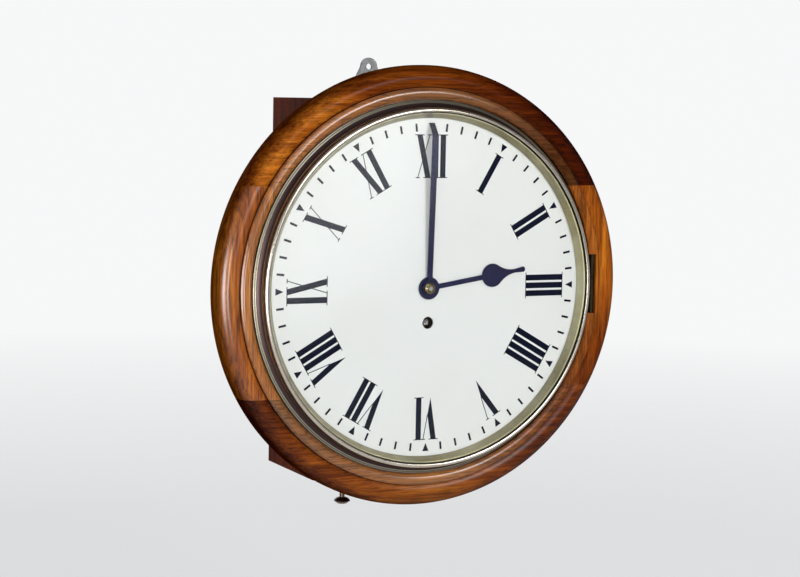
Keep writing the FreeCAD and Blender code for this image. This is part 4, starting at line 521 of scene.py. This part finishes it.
# Oak surround: a turned ring sawn into its four boards
BORE = 145.0
STEP = 152.4
STEP_DEPTH = DIAL_FRONT - 1.6
GROOVE = 162.0
GROOVE_DEPTH = DIAL_FRONT - 4
MOULDING = 171.3
MOULDING_DEPTH = DIAL_FRONT - 1.5
MOULDING_ROUND = 6.4
QUIRK = MOULDING + 0.3
QUIRK_DEPTH = DIAL_FRONT - 3.9
CUSHION_START = 171.9
CUSHION_MIDDLE = 178.0
CUSHION_ROUND = 12.5
CUSHION_DEPTH = DIAL_FRONT - 14.2
WALL_DEPTH = CUSHION_DEPTH - 5.6
SURROUND = CUSHION_MIDDLE + CUSHION_ROUND
TUCK_ANGLE = math.radians(45)
cushion_top = CUSHION_DEPTH + math.sqrt(CUSHION_ROUND ** 2 - (CUSHION_MIDDLE - CUSHION_START) ** 2)
tuck = (
    CUSHION_MIDDLE + CUSHION_ROUND * math.cos(TUCK_ANGLE),
    WALL_DEPTH - CUSHION_ROUND * math.sin(TUCK_ANGLE),
)
surround_profile = [(BORE, BOX_DEPTH), (tuck[0], BOX_DEPTH), tuck]
surround_profile += arc(tuck, (SURROUND, WALL_DEPTH), CUSHION_ROUND, 10)
surround_profile += [(SURROUND, CUSHION_DEPTH)]
surround_profile += arc((SURROUND, CUSHION_DEPTH), (CUSHION_START, cushion_top), CUSHION_ROUND, 20)
surround_profile += [(QUIRK, QUIRK_DEPTH), (MOULDING, MOULDING_DEPTH)]
surround_profile += arc((MOULDING, MOULDING_DEPTH), (GROOVE, MOULDING_DEPTH), MOULDING_ROUND, 14)
surround_profile += [(GROOVE, GROOVE_DEPTH), (STEP, GROOVE_DEPTH)]
surround_profile += [(STEP, STEP_DEPTH), (BORE, STEP_DEPTH)]
upper_joint, lower_joint, middle = at(0, 0, 87.5), at(0, 0, -90.5), at(0, 0, 0)
UP, DOWN = Vector((0, 0, 1)), Vector((0, 0, -1))
LEFT, RIGHT = Vector((-1, 0, 0)), Vector((1, 0, 0))
saw_cuts = {
    "top": [(upper_joint, DOWN)],
    "bottom": [(lower_joint, UP)],
    "left": [(upper_joint, UP), (lower_joint, DOWN), (middle, RIGHT)],
    "right": [(upper_joint, UP), (lower_joint, DOWN), (middle, LEFT)],
}
# The right board is cut away for the knuckles of the bezel's hinge and for its leaf
HINGE_HALF = 26.3
HINGE_FLOOR = 127.8
PAST_FRONT = 140.0
LEAF_START = 154.7
board_cutters = [
    ((160.6, HINGE_FLOOR, -HINGE_HALF), (165.8, PAST_FRONT, HINGE_HALF)),
    ((LEAF_START, HINGE_FLOOR, -HINGE_HALF), (163.2, PAST_FRONT, HINGE_HALF)),
]
for side, cuts in saw_cuts.items():
    ring = lathe(surround_profile)
    for point, normal in cuts:
        keep_side(ring, point, normal)
    board_mesh = finished(ring, "oak_" + side)
    if side == "right":
        board_mesh = carved(board_mesh, board_cutters)
    add_piece("oak_board_" + side, board_mesh, oak[side], "case", ["surround_" + side])

# Bezel, from its back edge over the hollow to its rounded lip
BEZEL_BACK = 129.3
bezel_profile = [(152.8, BEZEL_BACK), (161.0, BEZEL_BACK), (161.0, 131.2), (159.2, 132.2)]
bezel_profile += arc((159.2, 132.2), (154.5, 142.0), -8.0, 14)
bezel_profile += arc((154.5, 142.0), (150.9, 143.8), 2.2, 14)
bezel_profile += [(150.9, 143.2), (152.8, 143.2)]
# It is cut away for the hinge's knuckles and leaf, and for the catch at nine
BEHIND_BEZEL = 126.0
bezel_cutters = [
    ((160.6, BEHIND_BEZEL, -HINGE_HALF), (164, 132.2, HINGE_HALF)),
    ((LEAF_START, BEHIND_BEZEL, -HINGE_HALF), (164, 130.5, HINGE_HALF)),
    ((-153.2, BEHIND_BEZEL, -7.3), (-149.8, 134.3, 7.3)),
]
bezel_mesh = carved(finished(lathe(bezel_profile), "bezel_spun", 40.0), bezel_cutters)
add_piece("bezel_spun", bezel_mesh, bezel_brass, "bezel_door", ["bezel"])

# Sight ring: a sloping face from the dial out to a flat rim under the glass
sight_profile = [
    (145.6, 133.6), (146.5, 133.6), (150.9, 140.2), (152.5, 140.2),
    (152.5, 141.2), (150.0, 141.2), (145.6, 134.2),
]
sight_mesh = finished(lathe(sight_profile), "sight_ring_spun")
add_piece("sight_ring_spun", sight_mesh, sight_brass, "bezel_door", ["sight_ring"])

# Dial markings, a hair above the paint
MARK_DEPTH = DIAL_FRONT + 0.06
NUMERAL_FOOT = 94.8
NUMERAL_HEAD = 131.2
STROKE = 5.1
HAIRLINE = 0.75
STROKE_GAP = 1.8
LETTER_GAP = 2.2
SERIF_REACH = 1.9
HAIR_SERIF = 1.9
NUMERALS = ["XII", "I", "II", "III", "IIII", "V", "VI", "VII", "VIII", "IX", "X", "XI"]
LETTER_WIDTHS = {"I": STROKE, "V": 12.3, "X": 13.2}
V_POINT = 5.85
# Where each stroke of an X stands at its foot and at its head
X_THICK = (10.8, 2.55)
X_HAIR = (1.2, 12.05)
MINUTE_MARK_WIDTH = 1.9
MINUTE_MARK_ENDS = (134.6, 141.4)
HOUR_MARK_HALF = 3.0
HOUR_MARK_ENDS = (134.4, 141.5)


def dial_quad(work, corners, angle):
    """A flat mark. Its corners are (across, out) in a frame that stands at the angle, top outwards."""
    out, across = dial_axes(angle)
    verts = []
    for u, v in corners:
        spot = across * u + out * v
        verts.append(work.verts.new(at(spot.x, MARK_DEPTH, spot.y)))
    work.faces.new(verts)


def bar_corners(foot, head, width, low, high):
    half = width / 2
    return [(foot - half, low), (foot + half, low), (head + half, high), (head - half, high)]


def paint_bar(work, foot, head, width, angle):
    """A straight stroke over the height of the numerals."""
    dial_quad(work, bar_corners(foot, head, width, NUMERAL_FOOT, NUMERAL_HEAD), angle)


def paint_serif(work, place, level, half, angle):
    """A hairline across the end of a stroke."""
    low, high = level - HAIRLINE / 2, level + HAIRLINE / 2
    dial_quad(work, bar_corners(place, place, half * 2, low, high), angle)


def paint_letter(work, letter, left, angle):
    """One Roman letter from its left side. A V runs out to a point at its foot."""
    half = STROKE / 2
    thick_serif = half + SERIF_REACH
    if letter == "I":
        paint_bar(work, left + half, left + half, STROKE, angle)
        for level in (NUMERAL_FOOT, NUMERAL_HEAD):
            paint_serif(work, left + half, level, thick_serif, angle)
        return
    if letter == "X":
        for ends, width, serif in ((X_THICK, STROKE, thick_serif), (X_HAIR, HAIRLINE, HAIR_SERIF)):
            paint_bar(work, left + ends[0], left + ends[1], width, angle)
            paint_serif(work, left + ends[0], NUMERAL_FOOT, serif, angle)
            paint_serif(work, left + ends[1], NUMERAL_HEAD, serif, angle)
        return
    hair_head = LETTER_WIDTHS["V"]
    meeting = (hair_head - STROKE) / hair_head
    level = NUMERAL_HEAD + (NUMERAL_FOOT - NUMERAL_HEAD) * meeting
    inner = left + STROKE + V_POINT * meeting
    foot = left + V_POINT
    corners = [(left, NUMERAL_HEAD), (foot, NUMERAL_FOOT), (inner, level), (left + STROKE, NUMERAL_HEAD)]
    dial_quad(work, corners, angle)
    dial_quad(work, bar_corners(inner, left + hair_head, HAIRLINE, level, NUMERAL_HEAD), angle)
    paint_serif(work, left + half, NUMERAL_HEAD, thick_serif, angle)
    paint_serif(work, left + hair_head, NUMERAL_HEAD, HAIR_SERIF, angle)


def letter_gaps(numeral):
    """The gap after each letter of a numeral, with none after the last."""
    pairs = zip(numeral, numeral[1:])
    return [STROKE_GAP if first == second == "I" else LETTER_GAP for first, second in pairs] + [0.0]


marks = bmesh.new()
for hour, numeral in enumerate(NUMERALS):
    gaps = letter_gaps(numeral)
    left = -(sum(LETTER_WIDTHS[letter] for letter in numeral) + sum(gaps)) / 2
    for letter, gap in zip(numeral, gaps):
        paint_letter(marks, letter, left, hour * 30.0)
        left += LETTER_WIDTHS[letter] + gap
inner_end, outer_end = HOUR_MARK_ENDS
hour_mark = [(0, inner_end), (HOUR_MARK_HALF, outer_end), (-HOUR_MARK_HALF, outer_end)]
minute_mark = bar_corners(0, 0, MINUTE_MARK_WIDTH, *MINUTE_MARK_ENDS)
for minute in range(60):
    dial_quad(marks, minute_mark if minute % 5 else hour_mark, minute * 6.0)
bmesh.ops.recalc_face_normals(marks, faces=marks.faces[:])
for face in marks.faces:
    if face.normal.y > 0:
        face.normal_flip()
add_piece("dial_marks", stored(marks, "dial_marks"), ink, "case")

# Hands: each is a strip of stations along its length, with half-widths and heights read from its outline
HAND_THICKNESS = 0.9
HAND_BEVEL = 0.18
BLUNT_END = 0.12


def strip_hand(name, stations, angle):
    """A flat hand from (out, half width, back depth) stations, with eased edges."""
    out, across = dial_axes(angle)
    work = bmesh.new()
    rows = []
    for along, half, back in stations:
        ease = min(HAND_BEVEL, half * 0.8)
        front = back + HAND_THICKNESS
        section = [
            (-half, back), (half, back), (half, front - ease),
            (half - ease, front), (ease - half, front), (-half, front - ease),
        ]
        row = []
        for u, depth in section:
            spot = across * u + out * along
            row.append(work.verts.new(at(spot.x, depth, spot.y)))
        rows.append(row)
    for first, second in zip(rows, rows[1:]):
        for number in range(6):
            after = (number + 1) % 6
            work.faces.new((first[number], first[after], second[after], second[number]))
    work.faces.new(rows[0])
    work.faces.new(rows[-1][::-1])
    return finished(work, name, 24.0)


def circle_half(along, centre, radius):
    """Half the width of a circle at a place along the hand."""
    return math.sqrt(max(radius ** 2 - (along - centre) ** 2, 0.0))


HOUR_ANGLE = 80.9
HOUR_BACK = DIAL_FRONT + 0.5
HOUR_BOSS = 9.75
HOUR_BAR_HALF = 2.15
SPADE = 10.2
SPADE_PLACE = 62.0
NECK = 1.6
NECK_PLACE = 84.5
NECK_ROUND = ((NECK_PLACE - SPADE_PLACE) ** 2 + NECK ** 2 - SPADE ** 2) / (2 * (SPADE - NECK))
TURN_PLACE = SPADE_PLACE + (NECK_PLACE - SPADE_PLACE) * SPADE / (SPADE + NECK_ROUND)
TIP, TIP_PLACE, TIP_FLAT, HOUR_LENGTH = 2.4, 92.8, 1.2, 94.2


def hour_half(along):
    """Half the hour hand's width: boss, bar, round spade, hollow neck and a small square-ended tip."""
    if along < SPADE_PLACE:
        bar = HOUR_BAR_HALF if along > 0 else BLUNT_END
        return max(circle_half(along, 0, HOUR_BOSS), bar, circle_half(along, SPADE_PLACE, SPADE))
    if along < TURN_PLACE:
        return circle_half(along, SPADE_PLACE, SPADE)
    if along < NECK_PLACE:
        return NECK + NECK_ROUND - circle_half(along, NECK_PLACE, NECK_ROUND)
    if along < TIP_PLACE:
        return NECK + (TIP - NECK) * (along - NECK_PLACE) / (TIP_PLACE - NECK_PLACE)
    return TIP + (TIP_FLAT - TIP) * (along - TIP_PLACE) / (HOUR_LENGTH - TIP_PLACE)


hour_places = [-HOUR_BOSS + 0.45 * step for step in range(228)]
hour_places = [along for along in hour_places if along < TIP_PLACE - 0.2] + [TIP_PLACE, HOUR_LENGTH]
hour_stations = [(along, hour_half(along), HOUR_BACK) for along in hour_places]
hour_mesh = strip_hand("hour_hand_blued", hour_stations, HOUR_ANGLE)
add_piece("hour_hand_blued", hour_mesh, blued, "hour", ["hour_hand"])

# The minute hand climbs to a bend near its end, and its tip drops back towards the dial
MINUTE_ANGLE = 0.0
MINUTE_BACK = DIAL_FRONT + 1.8
MINUTE_BOSS = 7.0
MINUTE_ROOT_HALF = 2.5
MINUTE_BEND_HALF = 2.8
MINUTE_TIP_HALF = 2.3
MINUTE_FLAT = 14.0
MINUTE_BEND = 131.5
MINUTE_LENGTH = 141.0
BEND_RISE = 5.2
TIP_DROP = 6.61


def minute_station(along):
    """Place, half width and back depth of the minute hand."""
    bar = 0.0
    if along > 0:
        bar = MINUTE_ROOT_HALF + (MINUTE_BEND_HALF - MINUTE_ROOT_HALF) * along / MINUTE_BEND
    half = max(circle_half(along, 0, MINUTE_BOSS), bar, BLUNT_END)
    rise = 0.0
    if along >= MINUTE_BEND:
        past = (along - MINUTE_BEND) / (MINUTE_LENGTH - MINUTE_BEND)
        rise = BEND_RISE - TIP_DROP * past
        half = MINUTE_BEND_HALF + (MINUTE_TIP_HALF - MINUTE_BEND_HALF) * past
    elif along >= MINUTE_FLAT:
        rise = BEND_RISE * (along - MINUTE_FLAT) / (MINUTE_BEND - MINUTE_FLAT)
    return along, half, MINUTE_BACK + rise


minute_places = [-MINUTE_BOSS + 0.5 * step for step in range(44)]
minute_places += [16, 30, 50, 70, 90, 110, 125, 131.0, MINUTE_BEND, 132, 134, 138, MINUTE_LENGTH]
minute_stations = [minute_station(along) for along in minute_places]
minute_mesh = strip_hand("minute_hand_blued", minute_stations, MINUTE_ANGLE)
add_piece("minute_hand_blued", minute_mesh, blued, "minute", ["minute_hand"])

# CAD pieces that keep their own shape take their finish here, by slot or by name
FINISHES = {
    "dial_white": dial_paint,
    "glass": glass,
    "movement_brass": movement_brass,
    "aged_brass": aged_brass,
    "steel": steel,
    "peg_wood": peg_wood,
    "gut": gut,
    "bezel_brass": bezel_brass,
    "sight_brass": sight_brass,
    "blued_steel": blued,
    "mahogany": mahogany_upright,
    "oak_level": oak["top"],
    "oak_upright": oak["left"],
}
OWN_FINISHES = {
    "box_top": mahogany_level,
    "box_bottom": mahogany_level,
    "bottom_door": mahogany_level,
    "hand_collet": collet_brass,
    "front_plate": aged_brass,
    "hanger_plate": dull_steel,
    "fusee_arbor": dull_steel,
    "centre_arbor": dull_steel,
    "door_knob": knob_brass,
    "bezel_hinge_fixed": hinge_brass_in_shade,
    "bezel_hinge_moving": hinge_brass_in_shade,
}
for entry in frame["record"]["subparts"]:
    node = nodes[entry["node"]]
    finish = OWN_FINISHES.get(entry["node"], FINISHES[entry["material_slot"]])
    node.data.materials.clear()
    node.data.materials.append(finish)

# Stage: a pale floor below the hung clock. It fades out sideways, and from below it is clear.
BACKDROP = (0.93, 0.935, 0.94, 1)
FLOOR_HEIGHT = -0.34
FLOOR_RADIUS = 2.6
FLOOR_GLOW = 0.6
floor_work = bmesh.new()
bmesh.ops.create_circle(floor_work, cap_ends=True, segments=96, radius=FLOOR_RADIUS)
floor_mesh = stored(floor_work, "floor")
floor = bpy.data.objects.new("floor", floor_mesh)
floor.location = (0, 0, FLOOR_HEIGHT)
link(floor)
ground = Surface("floor", Base_Color=(0.80, 0.80, 0.79, 1), Roughness=0.7)
distance = ground.node("VectorMath", {0: ground.place()}, operation="LENGTH").outputs["Value"]
fade = ground.grey_ramp(ground.calc("DIVIDE", distance, FLOOR_RADIUS), (0.25, 0), (0.95, 1))
glow = ground.node("Emission", {"Color": BACKDROP, "Strength": 1.0}).outputs[0]
floor_rays = ground.node("LightPath").outputs
seen_floor = ground.calc("MAXIMUM", floor_rays["Is Camera Ray"], floor_rays["Is Glossy Ray"])
seen_floor = ground.calc("MAXIMUM", seen_floor, floor_rays["Is Transmission Ray"])
lifted = ground.blend(ground.calc("MULTIPLY", seen_floor, FLOOR_GLOW), ground.shader.outputs[0], glow)
below = ground.node("NewGeometry").outputs["Backfacing"]
clear = ground.node("BsdfTransparent").outputs[0]
ground.show(ground.blend(ground.calc("MAXIMUM", fade, below), lifted, clear))
floor_mesh.materials.append(ground.material)

# Lamps, all aimed at the dial
DAYLIGHT = (1.0, 0.99, 0.97)
WARM = (1.0, 0.98, 0.95)
COOL = (0.96, 0.98, 1.0)
WHITE = (1.0, 1.0, 1.0)
LAMP_TARGET = Vector((0, -0.13, 0))
# Each lamp: its name, its place, its width and height, its power and its colour
LAMPS = [
    ("window_left", (-1.0, -2.25, -0.2), (0.5, 0.7), 14.0, DAYLIGHT),
    ("window_right", (0.75, -2.2, 0.75), (0.7, 0.6), 18.0, DAYLIGHT),
    ("fill_right", (2.4, -0.9, 0.4), (1.8, 1.8), 5.5, WARM),
    ("fill_left", (-2.2, -1.3, 0.3), (2.4, 2.4), 9.0, COOL),
    ("overhead", (-0.2, -0.9, 2.2), (2.2, 2.2), 3.5, WHITE),
    ("behind", (0.3, 2.0, 1.2), (1.6, 1.6), 7.0, WHITE),
]
for name, place, size, power, colour in LAMPS:
    light = bpy.data.lights.new(name, "AREA")
    light.shape = "RECTANGLE"
    light.size, light.size_y = size
    light.energy = power
    light.color = colour
    lamp = bpy.data.objects.new(name, light)
    lamp.location = place
    lamp.visible_camera = False
    lamp.rotation_euler = (LAMP_TARGET - Vector(place)).to_track_quat("-Z", "Y").to_euler()
    link(lamp)

# World: a pale backdrop to the eye, and a plain even light on the clock
AMBIENT = (0.90, 0.94, 1.0, 1)
AMBIENT_STRENGTH = 0.33
MIRRORED = (0.97, 0.985, 1.0, 1)
world = bpy.data.worlds.new("studio")
bpy.context.scene.world = world
world.use_nodes = True
sky = Nodes(world.node_tree)
backdrop = sky.tree.nodes["Background"]
sky.feed(backdrop.inputs[0], BACKDROP)
ambient = sky.node("Background", {0: AMBIENT, 1: AMBIENT_STRENGTH})
rays = sky.node("LightPath").outputs
seen = sky.calc("MAXIMUM", rays["Is Camera Ray"], rays["Is Transmission Ray"])
direct = sky.blend(seen, ambient.outputs[0], backdrop.outputs[0])
# Gloss sees the same pale backdrop behind the clock and a dimmer room in front of it
ROOM_HEADING = (0.2, -0.98, 0.0)
way = sky.node("TexCoord").outputs["Generated"]
room_range = {"From Min": -0.9, "From Max": -0.4, "To Min": 0.93, "To Max": 0.14}
room = sky.node("MapRange", {"Value": sky.along(way, ROOM_HEADING), **room_range})
# In that room are soft pale windows: their heading, the cosine at their fading edge and their strength
SOFT_WINDOWS = [
    ((0.20, -0.94, 0.22), 0.975, 7.0),
    ((0.335, -0.942, 0.01), 0.988, 2.2),
    ((-0.15, -0.85, 0.50), 0.94, 3.0),
    ((-0.80, -0.59, -0.10), 0.955, 17.0),
]
WINDOW_FULL = 0.995
glare = room.outputs[0]
for window_heading, edge, strength in SOFT_WINDOWS:
    towards = sky.along(way, Vector(window_heading).normalized())
    window_range = {"From Min": edge, "From Max": WINDOW_FULL, "To Max": strength}
    window = sky.node("MapRange", {"Value": towards, **window_range}, interpolation_type="SMOOTHSTEP")
    glare = sky.calc("ADD", glare, window.outputs[0])
mirrored = sky.node("Background", {0: MIRRORED, 1: glare})
choice = sky.blend(rays["Is Glossy Ray"], direct, mirrored.outputs[0])
sky.feed(sky.tree.nodes["World Output"].inputs["Surface"], choice)

# Camera, solved from the dial's minute marks. It stands at one heading and looks back along another.
STAND_YAW, STAND_ELEVATION = -26.2055, 5.532
AIM_YAW, AIM_ELEVATION = STAND_YAW + 0.7716, STAND_ELEVATION + 0.0269
ROLL = math.radians(1.102)
DISTANCE = 1.81375
camera_data = bpy.data.cameras.new("camera")
camera_data.sensor_fit = "HORIZONTAL"
camera_data.sensor_width = 36.0
camera_data.lens = 95.09
camera = bpy.data.objects.new("camera", camera_data)


def heading(yaw, elevation):
    """The direction from the dial at a yaw and an elevation in degrees."""
    turn, lift = math.radians(yaw), math.radians(elevation)
    return Vector((math.sin(turn) * math.cos(lift), -math.cos(turn) * math.cos(lift), math.sin(lift)))


forward = -heading(AIM_YAW, AIM_ELEVATION)
level_right = forward.cross(UP).normalized()
level_up = level_right.cross(forward)
camera_right = level_right * math.cos(ROLL) + level_up * math.sin(ROLL)
camera_up = level_up * math.cos(ROLL) - level_right * math.sin(ROLL)
stand = at(0, DIAL_FRONT, 0) + heading(STAND_YAW, STAND_ELEVATION) * DISTANCE
camera.matrix_world = Matrix((
    (camera_right.x, camera_up.x, -forward.x, stand.x),
    (camera_right.y, camera_up.y, -forward.y, stand.y),
    (camera_right.z, camera_up.z, -forward.z, stand.z),
    (0, 0, 0, 1),
))
link(camera)
bpy.context.scene.camera = camera
bpy.context.scene.view_settings.view_transform = "Standard"
